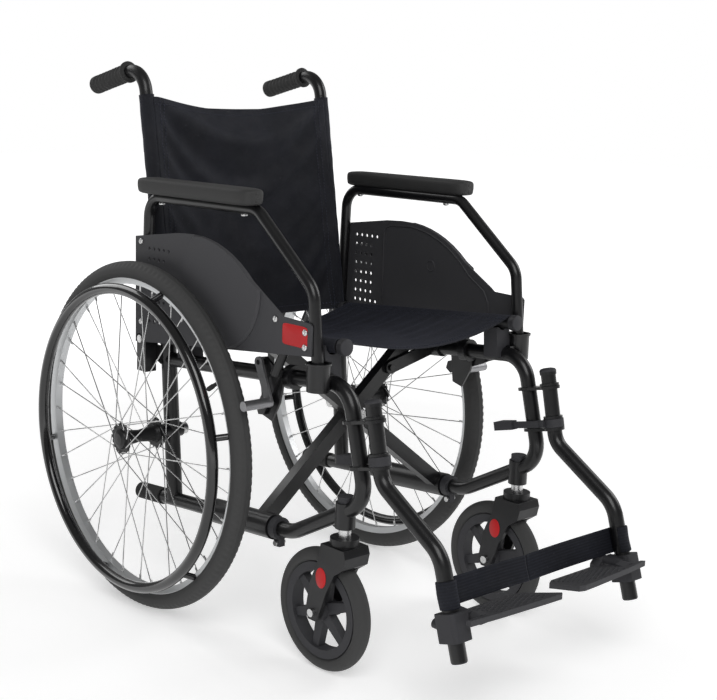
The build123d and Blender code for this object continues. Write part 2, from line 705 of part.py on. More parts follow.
def back_sling():
    """Back upholstery: a slack sheet between two sleeves on the back canes."""
    outer = CANE_D + 2 * (SOFT_GAP + CLOTH)
    inner = CANE_D + 2 * SOFT_GAP
    z0, z1 = BACK_BOTTOM_Z, BACK_TOP_Z
    body = cane_envelope(-1, z0, z1, outer) + cane_envelope(1, z0, z1, outer)
    t = 4.0
    sheet = side_plate(-FRAME_X, FRAME_X, [(back_f(z0) - t / 2, z0), (back_f(z0) + t / 2, z0),
                                          (back_f(z1) + t / 2, z1), (back_f(z1) - t / 2, z1)])
    body += sheet
    body -= cane_envelope(-1, z0 - 5, z1 + 5, inner)
    body -= cane_envelope(1, z0 - 5, z1 + 5, inner)
    return body


def seat_sling():
    """Seat upholstery: a sheet between two sleeves on the seat rails."""
    outer = RAIL_D + 2 * (SOFT_GAP + CLOTH)
    inner = RAIL_D + 2 * SOFT_GAP
    f0, f1 = RAIL_REAR_F + 1, RAIL_FRONT_F - 1
    t = 4.0
    body = None
    for side in (-1, 1):
        x = side * RAIL_X
        sleeve = cylinder(place(x, *at_f(f0, RAIL_H)), place(x, *at_f(f1, RAIL_H)), outer)
        body = sleeve if body is None else body + sleeve
    top = RAIL_H + outer / 2
    sag = 10.0
    reach = RAIL_X + outer
    body -= side_plate(-reach, reach, [at_f(f0 - 5, RAIL_H - 40), at_f(f1 + 5, RAIL_H - 40),
                                       at_f(f1 + 5, RAIL_H - 5.5), at_f(f0 - 5, RAIL_H - 5.5)])
    body += side_plate(-RAIL_X, RAIL_X, [at_f(f0, top - sag - t), at_f(f1, top - sag - t),
                                        at_f(f1, top - sag), at_f(f0, top - sag)])
    for side in (-1, 1):
        x = side * RAIL_X
        body -= cylinder(place(x, *at_f(f0 - 5, RAIL_H)), place(x, *at_f(f1 + 5, RAIL_H)), inner)
    return body


# ---- armrests ----------------------------------------------------------------------------
def armrest_tube(side):
    """Armrest: bent tube with a foot block that turns on the rear pivot."""
    x = side * ARM_X
    pts = [place(x, f, z) for f, z in ARM_POINTS]
    tube = rod(pts, ARM_BENDS, ARM_D)
    f, z = ARM_PIVOT
    foot = side_plate(side * (ARM_X - ARM_D / 2 - 3), side * (ARM_X + 10),
                      [(f - 13, z - 58), (f - 13, z + 14), (f - 8, z + 30), (f + 9, z + 30),
                       (f + 14, z + 14), (f + 14, z - 58)])
    body = tube + foot
    return body - cross(side * (ARM_X - 30), side * (ARM_X + 30), f, z, 8 + 2 * FIT)


def arm_pad(side):
    """Flat-topped padded armrest with rounded ends, grooved to sit on the tube."""
    x = side * PAD_X
    half = PAD_W / 2
    low = ARM_TOP_Z + ARM_D / 2 - 3
    outline = [(PAD_FROM, low), (PAD_TO, low), (PAD_TO, low + PAD_T), (PAD_FROM, low + PAD_T)]
    body = side_plate(x - half, x + half, outline)
    ends = [e for e in body.edges().filter_by(Axis.Z, tolerance=5.0)]
    body = fillet(ends, half * 0.55)
    body = chamfer(body.faces().sort_by(Axis.Z)[-1].edges(), 4.0)
    pts = [place(side * ARM_X, f, z) for f, z in ARM_POINTS]
    return body - rod(pts, ARM_BENDS, ARM_D)


def panel_outline():
    """Outline of the side panel as (f, z) points."""
    pts = [(-52, 462), (-52, 648), (70, 664), (110, 666)]
    for i in range(1, 9):
        a = radians(90 - i * 5.2)
        pts.append((118 + 232 * cos(a), 434 + 232 * sin(a)))
    pts += [(338, 568), (346, 562), (410, 560), (414, 556), (414, 510), (200, 488)]
    return pts


def side_panel(side):
    """Moulded side panel with a raised round boss and a grid of holes."""
    x0 = side * PANEL_X
    x1 = side * (PANEL_X + PANEL_T)
    x2 = side * (PANEL_X + PANEL_T + BOSS_H)
    body = side_plate(x0, x1, panel_outline())
    disc = cross(x1 - side, x2, 190, 590, 2 * BOSS_R)
    disc = chamfer(disc.edges().sort_by(Axis.X)[-1 if side > 0 else 0], 3.5)
    edge = [(60, 486), (60, 650), (118, 663)] + panel_outline()[4:13] + [(340, 505), (200, 491)]
    inner = side_plate(x1 - side, x2 + side, edge)
    body += disc & inner
    for row in range(8):
        count = 5 if row in (0, 7) else 4
        for col in range(count):
            body -= cross(x0 - side * 5, x2 + side * 5, -10 + col * 14, 630 - row * 18, 6.5)
    cut = cross(x0 - side * 5, x2 + side * 5, ARM_PIVOT[0], ARM_PIVOT[1], 20)
    return body - cut


# ---- hangers, strap and footplates ---------------------------------------------------------
def hanger_points(side):
    """Points of the hanger tube from its capped top to its lower end."""
    return [place(side * HANGER_X, *p) for p in (HANGER_TOP, HANGER_KNEE, HANGER_SHIN, HANGER_END)]


def hanger_tube(side):
    """Swing-away hanger: bent tube with a cap and two collars that rest on the lugs."""
    pts = hanger_points(side)
    body = rod(pts, HANGER_BENDS, HANGER_D)
    up = hanger_dir()
    body += cylinder(pts[0], pts[0] + up * 6, HANGER_D + 3)
    for z, lift in ((LUG_TOP_Z, 0.0), (LUG_LOW_Z, 14.0 + GAP)):
        c = place(side * HANGER_X, hanger_axis(z), z) + up * lift
        body += cylinder(c + up * (2.5 + GAP), c + up * (6.5 + GAP), HANGER_D + 7)
    return body


def hanger_latch(side):
    """Flared lever that turns on the hanger to free it from the frame."""
    z = LUG_LOW_Z
    x = side * HANGER_X
    up = hanger_dir()
    base = place(x, hanger_axis(z), z) + up * (2.5 + GAP)
    body = cylinder(base, base + up * 14, HANGER_D + 9)
    back = Vector(0, 1, 0)
    back = (back - up * back.dot(up)).normalized()
    mid = base + up * 7
    plane = Plane(origin=mid, x_dir=back, z_dir=up)
    arm = Pos(46, side * 19) * Rectangle(64, 7)
    handle = Polyline((70, 12), (70, 26), (104, 33), (104, 7), (70, 12))
    paddle = make_face(handle)
    if side < 0:
        paddle = mirror(paddle, about=Plane.XZ)
    bridge = Pos(16, side * 14) * Rectangle(22, 15)
    body += extrude(plane * arm, amount=5.5, both=True)
    body += extrude(plane * paddle, amount=7.5, both=True)
    body += extrude(plane * bridge, amount=5.5, both=True)
    pts = hanger_points(side)
    return body - rod(pts, HANGER_BENDS, HANGER_D + 2 * FIT)


def shin_dir():
    """Unit direction down the hanger's straight lower end."""
    return (place(0, *HANGER_END) - place(0, *HANGER_SHIN)).normalized()


def shin_f(z):
    """f of the hanger's lower end at height z."""
    (f0, z0), (f1, z1) = HANGER_SHIN, HANGER_END
    return f0 + (f1 - f0) * (z0 - z) / (z0 - z1)


def calf_strap(side):
    """Half of the calf strap: a loop round the hanger and a band to the chair's middle."""
    down = shin_dir()
    x = side * HANGER_X
    c = place(x, shin_f(STRAP_Z), STRAP_Z)
    a, b = c - down * (STRAP_H / 2), c + down * (STRAP_H / 2)
    loop = cylinder(a, b, HANGER_D + 2 * (SOFT_GAP + STRAP_T))
    back = (Vector(0, 1, 0) - down * down.Y).normalized()
    p = a - back * (HANGER_D / 2 + SOFT_GAP)
    q0 = Vector(x, p.Y, p.Z)
    q1 = Vector(side * SOFT_GAP, p.Y, p.Z)
    face = Face(Wire.make_polygon([q0, q1, q1 + down * STRAP_H, q0 + down * STRAP_H], close=True))
    band = extrude(face, amount=STRAP_T, dir=back * -1)
    return loop + band - cylinder(a - down * 5, b + down * 5, HANGER_D + 2 * SOFT_GAP)


def footplate_clamp(side):
    """Clamp block that slides on the hanger's lower end and carries the footplate's hinge pin."""
    down = shin_dir()
    x = side * HANGER_X
    c = place(x, shin_f(CLAMP_Z), CLAMP_Z)
    plane = Plane(origin=c, x_dir=Vector(1, 0, 0), z_dir=down)
    body = extrude(plane * RectangleRounded(HANGER_D + 12, HANGER_D + 15, 8), amount=21, both=True)
    f, z = shin_f(HINGE_Z), HINGE_Z
    hx = side * (HANGER_X - HINGE_IN)
    tongue = [(f - 15, z - 7.5), (f + 15, z - 7.5), (f + 15, z + 7.5), (f - 15, z + 7.5)]
    body += side_plate(side * (HANGER_X - 14), hx, tongue)
    body += cylinder(place(hx, f - 15, z), place(hx, f + 15, z), 15)
    body += cylinder(place(x, f - 32, CLAMP_Z - 6), place(x, f, CLAMP_Z - 6), 15)
    body -= cylinder(c - down * 60, c + down * 60, HANGER_D + 2 * FIT)
    pin = cylinder(place(hx, f - 33, z), place(hx, f + 33, z), 7)
    return body + pin


def footplate(side):
    """Flip-up footplate that leans up to its curved front edge, with two hinge ears."""
    f, z = shin_f(HINGE_Z), HINGE_Z
    hx = HANGER_X - HINGE_IN
    inner = hx - PLATE_REACH
    outer = hx - 9.5
    wing = HANGER_X + WING_OUT
    lean = tan(radians(PLATE_LEAN))
    outline = [(outer, PLATE_REAR_F), (outer, WING_REAR_F), (wing, WING_REAR_F), (wing, WING_REAR_F + 9),
               (outer - 16, PLATE_FRONT_F - 11), (inner + 39, PLATE_FRONT_F - 2), (inner + 7, PLATE_FRONT_F),
               (inner, PLATE_FRONT_F - 6), (inner + 13, PLATE_REAR_F + 11), (inner + 31, PLATE_REAR_F)]
    top = [place(side * a, b, z - 3 + (b - f) * lean) for a, b in outline]
    body = extrude(Face(Wire.make_polygon(top, close=True)), amount=PLATE_T, dir=Vector(0, 0, -1))
    xo, xi = side * hx, side * (outer - 6)
    for f0, f1 in ((f - EAR_TO, f - EAR_FROM), (f + EAR_FROM, f + EAR_TO)):
        mid = z - 3 - PLATE_T / 2 + ((f0 + f1) / 2 - f) * lean
        body += cylinder(place(xo, f0, z), place(xo, f1, z), EAR_D)
        web = [(xo, z + EAR_D / 2), (xi, mid + 6), (xi, mid - 6), (xo, z - EAR_D / 2)]
        face = Face(Wire.make_polygon([place(a, f0, b) for a, b in web], close=True))
        body += extrude(face, amount=f1 - f0, dir=Vector(0, -1, 0))
    return body - cylinder(place(xo, f - EAR_TO - 20, z), place(xo, f + EAR_TO + 1, z), 7 + 2 * FIT)


def brake_bracket(side):
    """Bracket clamped to the upper tube, with the lock's two pivot pins."""
    f, z = BRAKE_PIVOT
    a, b = SHOE_PIVOT
    x0, x1 = side * (LOCK_X - 4.0), side * LOCK_X
    plate = side_plate(x0, x1, [(f - 14, z - 34), (f + 8, z - 40), (f + 26, z - 8), (f + 34, z + 24),
                                (f + 26, z + 40), (a + 6, b + 9), (a - 9, b + 6), (a - 9, b - 10)])
    s0, s1 = at_f(318, UPPER_H), at_f(334, UPPER_H)
    clamp = cylinder(place(side * FRAME_X, *s0), place(side * FRAME_X, *s1), TUBE_D + 14)
    body = plate + clamp
    body += cross(x0, side * (LOCK_X + LEVER_T + GAP), f, z, 8)
    body += cross(x0, side * (LOCK_X + LEVER_T + SHOE_T + 3 * GAP), a, b, 8)
    s0, s1 = at_f(200, UPPER_H), at_f(400, UPPER_H)
    return body - cylinder(place(side * FRAME_X, *s0), place(side * FRAME_X, *s1), TUBE_D)


def brake_lever(side):
    """Hand lever of the wheel lock, drawn in its open position."""
    base = LOCK_X + GAP
    f, z = BRAKE_PIVOT
    tf, tz = BRAKE_TIP
    d = Vector(tf - f, tz - z, 0).normalized()
    n = Vector(-d.Y, d.X, 0)
    p = [(-30, 11), (52, 9), (60, 8), (60, -8), (52, -9), (-30, -11), (-38, 0)]
    outline = [(f + d.X * u + n.X * v, z + d.Y * u + n.Y * v) for u, v in p]
    body = side_plate(side * base, side * (base + LEVER_T), outline)
    x = side * (base + 7.5)
    g0 = place(x, f + d.X * 46, z + d.Y * 46)
    g1 = place(x, tf, tz)
    body += cylinder(g0, g1, 15) + Pos(*g1) * Sphere(7.5)
    return body - cross(side * (base - 10), side * (base + 20), f, z, 8 + 2 * FIT)


def shoe_at(gap):
    """(f, z) of the shoe's middle when it stands gap off the tyre."""
    r = WHEEL_R + SHOE_D / 2 + gap
    f, z = SHOE_PIVOT
    arm = 66.0
    d = hypot(f, z - WHEEL_R)
    base = atan2(z - WHEEL_R, f)
    turn = (r * r + d * d - arm * arm) / (2 * r * d)
    a = base - acos_safe(turn)
    return (r * cos(a), WHEEL_R + r * sin(a))


def acos_safe(c):
    """Angle in radians whose cosine is c."""
    return atan2(sqrt(1 - c * c), c)


def shoe_turn():
    """Degrees that the shoe's arm turns between open and shut."""
    f, z = SHOE_PIVOT
    (fo, zo), (fs, zs) = shoe_at(SHOE_OPEN), shoe_at(SHOE_SHUT)
    return degrees(atan2(zs - z, fs - f) - atan2(zo - z, fo - f))


def brake_shoe(side):
    """Shoe bar on its swinging arm, drawn in its open position."""
    base = LOCK_X + LEVER_T + 2 * GAP
    f, z = SHOE_PIVOT
    sf, sz = shoe_at(SHOE_OPEN)
    d = Vector(sf - f, sz - z, 0).normalized()
    n = Vector(-d.Y, d.X, 0)
    outline = [(f + n.X * 8, z + n.Y * 8), (sf + n.X * 8, sz + n.Y * 8),
               (sf - n.X * 8, sz - n.Y * 8), (f - n.X * 8, z - n.Y * 8)]
    body = side_plate(side * base, side * (base + SHOE_T), outline)
    body += cross(side * base, side * (base + SHOE_T), f, z, 18)
    body += cross(side * base, side * (WHEEL_X + 12), sf, sz, SHOE_D)
    return body - cross(side * (base - 10), side * (base + 20), f, z, 8 + 2 * FIT)


# ---- write the nodes ---------------------------------------------------------------------
def brake_state(side):
    """Share of the lock's throw that is used at rest: the left lock stands shut."""
    return 1.0 if side > 0 else 0.0


def build():
    """All nodes by name."""
    nodes = {}
    for side, name in ((-1, "right"), (1, "left")):
        frame = side_frame(side)
        nodes[name + "_side_frame"] = frame
        nodes[name + "_back_cane"] = back_cane(side)
        nodes[name + "_push_grip"] = push_grip(side)
        nodes[name + "_frame_fittings"] = frame_fittings(side, frame)
        nodes[name + "_frame_bolts"] = frame_bolts(side)
        nodes[name + "_stub_sleeve"] = stub_sleeve(side)
        nodes[name + "_tyre"] = tyre(side)
        nodes[name + "_rim"] = rim(side)
        nodes[name + "_spokes"] = spokes(side)
        nodes[name + "_hub"] = hub(side)
        nodes[name + "_handrim"] = handrim(side)
        nodes[name + "_caster_tyre"] = caster_tyre(side)
        nodes[name + "_caster_wheel"] = caster_wheel(side)
        nodes[name + "_caster_fork"] = caster_fork(side)
        nodes[name + "_caster_bolts"] = caster_bolts(side)
        nodes[name + "_armrest_tube"] = armrest_tube(side)
        nodes[name + "_arm_pad"] = arm_pad(side)
        nodes[name + "_side_panel"] = side_panel(side)
        nodes[name + "_hanger_tube"] = hanger_tube(side)
        nodes[name + "_hanger_latch"] = hanger_latch(side)
        nodes[name + "_calf_strap"] = calf_strap(side)
        nodes[name + "_footplate_clamp"] = footplate_clamp(side)
        nodes[name + "_footplate"] = footplate(side)
        nodes[name + "_brake_bracket"] = brake_bracket(side)
        share = brake_state(side)
        f, z = BRAKE_PIVOT
        nodes[name + "_brake_lever"] = spin_x(brake_lever(side), f, z, -BRAKE_THROW * share)
        f, z = SHOE_PIVOT
        nodes[name + "_brake_shoe"] = spin_x(brake_shoe(side), f, z, shoe_turn() * share)
        nodes[name + "_fold_link"] = fold_link(side)
    nodes["cross_bar_a"] = cross_bar(-1, -BAR_OFF)
    nodes["cross_bar_b"] = cross_bar(1, BAR_OFF)
    nodes["cross_pivot_bolt"] = pivot_bolt()
    nodes["seat_sling"] = seat_sling()
    nodes["back_sling"] = back_sling()
    return nodes


for node, shape in build().items():
    export_step(shape, "parts/" + node + ".step")
print("half bar", round(HALF_BAR, 3), "fold from", round(FOLD_REST, 3), "shoe turn", round(shoe_turn(), 3))
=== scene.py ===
"""Folding wheelchair: cloth, pads, grips, tyres, small fasteners, finishes and the studio.

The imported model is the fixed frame. This file adds what is soft or finely shaped and gives every
part its finish. Lengths are in metres, +Z is up, the chair faces -Y and stands on the floor.
"""

import json
import math

import bmesh
import bpy
import numpy as np
from bpy.props import FloatProperty, FloatVectorProperty, IntProperty, PointerProperty
from mathutils import Matrix, Vector


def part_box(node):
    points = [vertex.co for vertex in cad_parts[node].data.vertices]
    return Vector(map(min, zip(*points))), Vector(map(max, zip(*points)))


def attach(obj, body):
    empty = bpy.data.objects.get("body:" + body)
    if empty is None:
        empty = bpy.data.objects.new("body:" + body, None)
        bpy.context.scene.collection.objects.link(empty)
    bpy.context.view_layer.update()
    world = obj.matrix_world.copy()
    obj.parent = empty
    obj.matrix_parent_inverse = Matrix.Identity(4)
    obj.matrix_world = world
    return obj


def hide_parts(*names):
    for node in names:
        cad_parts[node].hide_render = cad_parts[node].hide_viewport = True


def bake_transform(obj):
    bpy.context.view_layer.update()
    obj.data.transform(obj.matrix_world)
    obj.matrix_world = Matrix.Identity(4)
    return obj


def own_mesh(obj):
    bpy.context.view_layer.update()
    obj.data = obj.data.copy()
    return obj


bl_info = {
    "name": "Folding Wheelchair Looks",
    "version": (1, 0, 0),
    "blender": (4, 5, 0),
    "location": "View3D > Sidebar > Wheelchair",
    "description": "Upholstery, grips, tyres, fasteners and finishes of a folding wheelchair",
    "category": "Object",
}

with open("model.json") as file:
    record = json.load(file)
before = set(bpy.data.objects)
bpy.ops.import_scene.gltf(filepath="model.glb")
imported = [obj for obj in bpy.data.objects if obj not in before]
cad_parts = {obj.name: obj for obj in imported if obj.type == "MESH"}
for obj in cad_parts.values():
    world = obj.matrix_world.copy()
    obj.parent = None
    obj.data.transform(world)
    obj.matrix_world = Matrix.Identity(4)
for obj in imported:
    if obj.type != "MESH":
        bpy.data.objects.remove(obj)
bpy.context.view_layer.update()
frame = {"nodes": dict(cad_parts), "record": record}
TILT = math.radians(4.5)
PLATE_LEAN = math.radians(15)
SIDES = (("right", -1), ("left", 1))
TAU = 2 * math.pi


# ---- settings ----------------------------------------------------------------------------
def length(name, default, text):
    """A size setting in metres."""
    return FloatProperty(name=name, description=text, default=default, min=0.0, unit="LENGTH", precision=4)


def colour(name, default, text):
    """A colour setting."""
    return FloatVectorProperty(name=name, description=text, default=default, size=3, min=0.0, max=1.0,
                               subtype="COLOR")


class WheelchairSizes(bpy.types.PropertyGroup):
    """Sizes of the cloth, pads and small parts."""
    cloth_thickness: length("Cloth thickness", 0.0016, "Thickness of the seat and back cloth")
    back_sag: length("Back sag", 0.016, "How far the back cloth bellies to the rear")
    seat_sag: length("Seat sag", 0.014, "How far the seat cloth hangs between its rails")
    wrinkle: length("Wrinkle height", 0.0045, "Height of the broad folds before the cloth settles")
    stitch: length("Stitch length", 0.006, "Length of one stitch and its gap")
    pad_thickness: length("Pad thickness", 0.027, "Height of the armrest pads")
    grip_radius: length("Grip radius", 0.016, "Radius of the push grips between the finger grooves")
    groove_depth: length("Finger groove depth", 0.0032, "Depth of the grips' finger grooves")
    tread_depth: length("Tread depth", 0.0011, "Depth of the rear tyres' tread")
    strap_thickness: length("Strap thickness", 0.0024, "Thickness of the calf strap")
    tread_blocks: IntProperty(name="Tread blocks", description="Tread blocks round each rear tyre",
                              default=150, min=20, max=300)


class WheelchairColours(bpy.types.PropertyGroup):
    """Colours of the finishes."""
    paint: colour("Frame paint", (0.0045, 0.0045, 0.005), "Satin black coat of the tubes")
    cloth: colour("Cloth", (0.0085, 0.0092, 0.0135), "Nylon of the seat and back")
    webbing: colour("Strap webbing", (0.0065, 0.0075, 0.0125), "Webbing of the calf strap")
    pad: colour("Pad skin", (0.0075, 0.0075, 0.008), "Soft skin of the armrest pads")
    panel: colour("Panel plastic", (0.009, 0.009, 0.0095), "Moulded side panels and footplates")
    fitting: colour("Fitting plastic", (0.007, 0.007, 0.0075), "Small moulded fittings")
    rubber: colour("Rubber", (0.008, 0.008, 0.0083), "Grips, tyres and sleeves")
    alloy: colour("Rim alloy", (0.62, 0.63, 0.65), "Rear rims")
    steel: colour("Steel", (0.56, 0.56, 0.56), "Spokes, bolts and nuts")
    label: colour("Label", (0.42, 0.012, 0.014), "Plain labels and badges")


class WheelchairStage(bpy.types.PropertyGroup):
    """Floor, lights and camera."""
    floor: colour("Floor", (0.86, 0.86, 0.86), "Pale floor and backdrop")
    air: FloatProperty(name="Air", description="Light that comes from all round", default=0.22, min=0.0)
    floor_glow: FloatProperty(name="Floor glow", description="Light of the floor under the chair",
                              default=0.42, min=0.0)
    key_power: FloatProperty(name="Key light", description="Power of the large light", default=95.0,
                             min=0.0, unit="POWER")
    fill_power: FloatProperty(name="Fill light", description="Power of the two fill lights", default=42.0,
                              min=0.0, unit="POWER")
    azimuth: FloatProperty(name="Azimuth", description="Camera's direction round the chair",
                           default=math.radians(-41.10), subtype="ANGLE")
    elevation: FloatProperty(name="Elevation", description="Camera's tilt down at the chair",
                             default=math.radians(11.307), subtype="ANGLE")


def sizes():
    """The sizes in use."""
    return bpy.context.scene.wheelchair_sizes


def colours():
    """The colours in use."""
    return bpy.context.scene.wheelchair_colours


# ---- surfaces ----------------------------------------------------------------------------
def add_mesh(name, points, faces, uv=None, smooth=True):
    """Object at the origin whose mesh holds the points and faces; uv gives a pair per face corner."""
    mesh = bpy.data.meshes.new(name)
    mesh.from_pydata(points.reshape(-1, 3).tolist(), [], faces)
    if uv is not None:
        layer = mesh.uv_layers.new(name="UVMap")
        layer.data.foreach_set("uv", np.asarray(uv, np.float32).ravel())
    mesh.validate()
    mesh.polygons.foreach_set("use_smooth", np.full(len(mesh.polygons), smooth))
    mesh.update()
    piece = bpy.data.objects.new(name, mesh)
    bpy.context.scene.collection.objects.link(piece)
    return piece


def surface(name, pts, round_v=False, caps=False, lengths=None, smooth=True):
    """Grid of points (rows, columns, 3) joined into quads. round_v joins the last column to the
    first, caps closes the first and last row with a fan, and the UVs are distances along the grid:
    u grows down the rows and v across the columns, both in metres."""
    rows, cols = pts.shape[:2]
    index = np.arange(rows * cols).reshape(rows, cols)
    if lengths is None:
        step_u = np.linalg.norm(np.diff(pts, axis=0), axis=2).mean(axis=1)
        closed = np.concatenate([pts, pts[:, :1]], axis=1) if round_v else pts
        step_v = np.linalg.norm(np.diff(closed, axis=1), axis=2).mean(axis=0)
        lengths = (np.append(0, np.cumsum(step_u)), np.append(0, np.cumsum(step_v)))
    if round_v:
        index = np.concatenate([index, index[:, :1]], axis=1)
    a, b, c, d = index[:-1, :-1], index[1:, :-1], index[1:, 1:], index[:-1, 1:]
    quads = np.stack([a, b, c, d], axis=-1).reshape(-1, 4)
    u, v = np.meshgrid(lengths[0], lengths[1], indexing="ij")
    uv = np.stack([u, v], axis=-1)
    corner = np.stack([uv[:-1, :-1], uv[1:, :-1], uv[1:, 1:], uv[:-1, 1:]], axis=2).reshape(-1, 2)
    faces = quads.tolist()
    points = pts.reshape(-1, 3)
    if caps:
        centre = len(points)
        points = np.concatenate([points, pts[:1].mean(axis=1), pts[-1:].mean(axis=1)])
        first, last = index[0], index[-1]
        fan = np.stack([np.full(cols, centre), first[:-1], first[1:]], axis=-1)
        tail = np.stack([np.full(cols, centre + 1), last[1:], last[:-1]], axis=-1)
        faces += fan.tolist() + tail.tolist()
        extra = np.zeros((6 * cols, 2))
        corner = np.concatenate([corner, extra])
    piece = add_mesh(name, points, faces, corner, smooth)
    return piece


def face_outwards(piece):
    """Turns every face of a closed piece outwards."""
    bm = bmesh.new()
    bm.from_mesh(piece.data)
    bmesh.ops.recalc_face_normals(bm, faces=bm.faces)
    bm.to_mesh(piece.data)
    bm.free()
    return piece


def sweep(path, radius, turns=32, side=(1, 0, 0), shape=None):
    """Points of a round bar: each path point plus the radius times cos of the angle along the side
    direction and sin of the angle along the direction square to both side and path."""
    path = np.asarray(path, float)
    tangent = np.gradient(path, axis=0)
    tangent /= np.linalg.norm(tangent, axis=1, keepdims=True)
    side = np.asarray(side, float)
    across = side - (tangent @ side)[:, None] * tangent
    across /= np.linalg.norm(across, axis=1, keepdims=True)
    normal = np.cross(tangent, across)
    angle = np.linspace(0, TAU, turns, endpoint=False)
    r = np.broadcast_to(np.asarray(radius, float).reshape(len(path), -1), (len(path), turns))
    if shape is not None:
        r = r * shape(angle)[None, :]
    return (path[:, None] + r[..., None] * (np.cos(angle)[None, :, None] * across[:, None]
                                             + np.sin(angle)[None, :, None] * normal[:, None]))


def lathe(centre, axis, profile, turns=32, hexes=()):
    """Points of a turned shape: each profile pair is (height along the axis, radius). Rows listed
    in hexes follow a hexagon instead: radius over the cosine of the angle to the nearest flat."""
    axis = np.asarray(axis, float) / np.linalg.norm(axis)
    ref = np.array([0.0, 0, 1]) if abs(axis[2]) < 0.9 else np.array([1.0, 0, 0])
    a = np.cross(axis, ref)
    a /= np.linalg.norm(a)
    b = np.cross(axis, a)
    angle = np.linspace(0, TAU, turns, endpoint=False)
    profile = np.asarray(profile, float)
    r = np.repeat(profile[:, 1:], turns, axis=1)
    flat = np.cos(math.pi / 6) / np.cos((angle % (TAU / 6)) - math.pi / 6)
    for row in hexes:
        r[row] = r[row] * flat
    spin = np.cos(angle)[:, None] * a + np.sin(angle)[:, None] * b
    return (np.asarray(centre, float) + profile[:, :1, None] * axis
            + r[..., None] * spin[None])


def join_grids(name, grids, closed_ends=True):
    """One piece from several closed rings-of-rows grids, each with its ends fanned shut."""
    points, faces, start = [], [], 0
    for pts in grids:
        rows, cols = pts.shape[:2]
        index = start + np.arange(rows * cols).reshape(rows, cols)
        index = np.concatenate([index, index[:, :1]], axis=1)
        quads = np.stack([index[:-1, :-1], index[1:, :-1], index[1:, 1:], index[:-1, 1:]], axis=-1)
        faces += quads.reshape(-1, 4).tolist()
        points.append(pts.reshape(-1, 3))
        start += rows * cols
        if closed_ends:
            points += [pts[:1].mean(axis=1), pts[-1:].mean(axis=1)]
            first, last = index[0], index[-1]
            faces += np.stack([np.full(cols, start), first[:-1], first[1:]], axis=-1).tolist()
            faces += np.stack([np.full(cols, start + 1), last[1:], last[:-1]], axis=-1).tolist()
            start += 2
    piece = add_mesh(name, np.concatenate(points), faces)
    return face_outwards(piece)


def fasteners(name, body, screws, finish):
    """Button-head screws with a hexagon socket. Each is (centre, axis, head radius, head height):
    a dome that falls from the middle height to the rim, with a six-sided hole sunk in its top."""
    grids = []
    for centre, axis, r, h in screws:
        t = np.linspace(0, math.pi / 2, 6)
        dome = [(h * (0.35 + 0.65 * math.cos(a)), r * (0.55 + 0.45 * math.sin(a))) for a in t]
        profile = [(h * 0.45, 0.0002), (h * 0.45, r * 0.40), (h * 0.98, r * 0.42)] + dome + [(-h * 0.3, r)]
        grids.append(lathe(centre, axis, profile, 24, hexes=(1, 2)))
    piece = join_grids(name, grids)
    dress(piece, finish)
    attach(piece, body)
    return piece


def small_part(name, grids, finish, body, closed_ends=True):
    """Piece made of several grids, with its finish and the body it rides."""
    piece = dress(join_grids(name, grids, closed_ends), finish)
    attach(piece, body)
    return piece


def plaque(centre, out, up, half, thick, power):
    """Points of a thin plate square to out. Its outline lies where the sum of the distances across
    and up, each over its half size and raised to the power, is 1: 2 is an oval, 8 a rounded label."""
    out, up = np.asarray(out, float), np.asarray(up, float)
    angle = np.linspace(0, TAU, 48, endpoint=False)
    c, s = np.cos(angle), np.sin(angle)
    k = (np.abs(c) ** power + np.abs(s) ** power) ** (-1 / power)
    flat = (half[0] * k * c)[:, None] * np.cross(up, out) + (half[1] * k * s)[:, None] * up
    rows = ((1.0, -0.0004), (1.0, thick * 0.7), (0.97, thick))
    return np.stack([np.asarray(centre) + share * flat + lift * out for share, lift in rows])


def dress(piece, finish):
    """Gives a piece its material."""
    piece.data.materials.clear()
    piece.data.materials.append(bpy.data.materials[finish])
    return piece


def mm(x, f, z):
    """Point in metres from millimetres: x across, f ahead of the rear axle, z up. The axle's own
    place comes from the rear tyre's box."""
    low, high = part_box("right_tyre")
    return np.array([x / 1000, (low[1] + high[1]) / 2 - f / 1000, z / 1000])


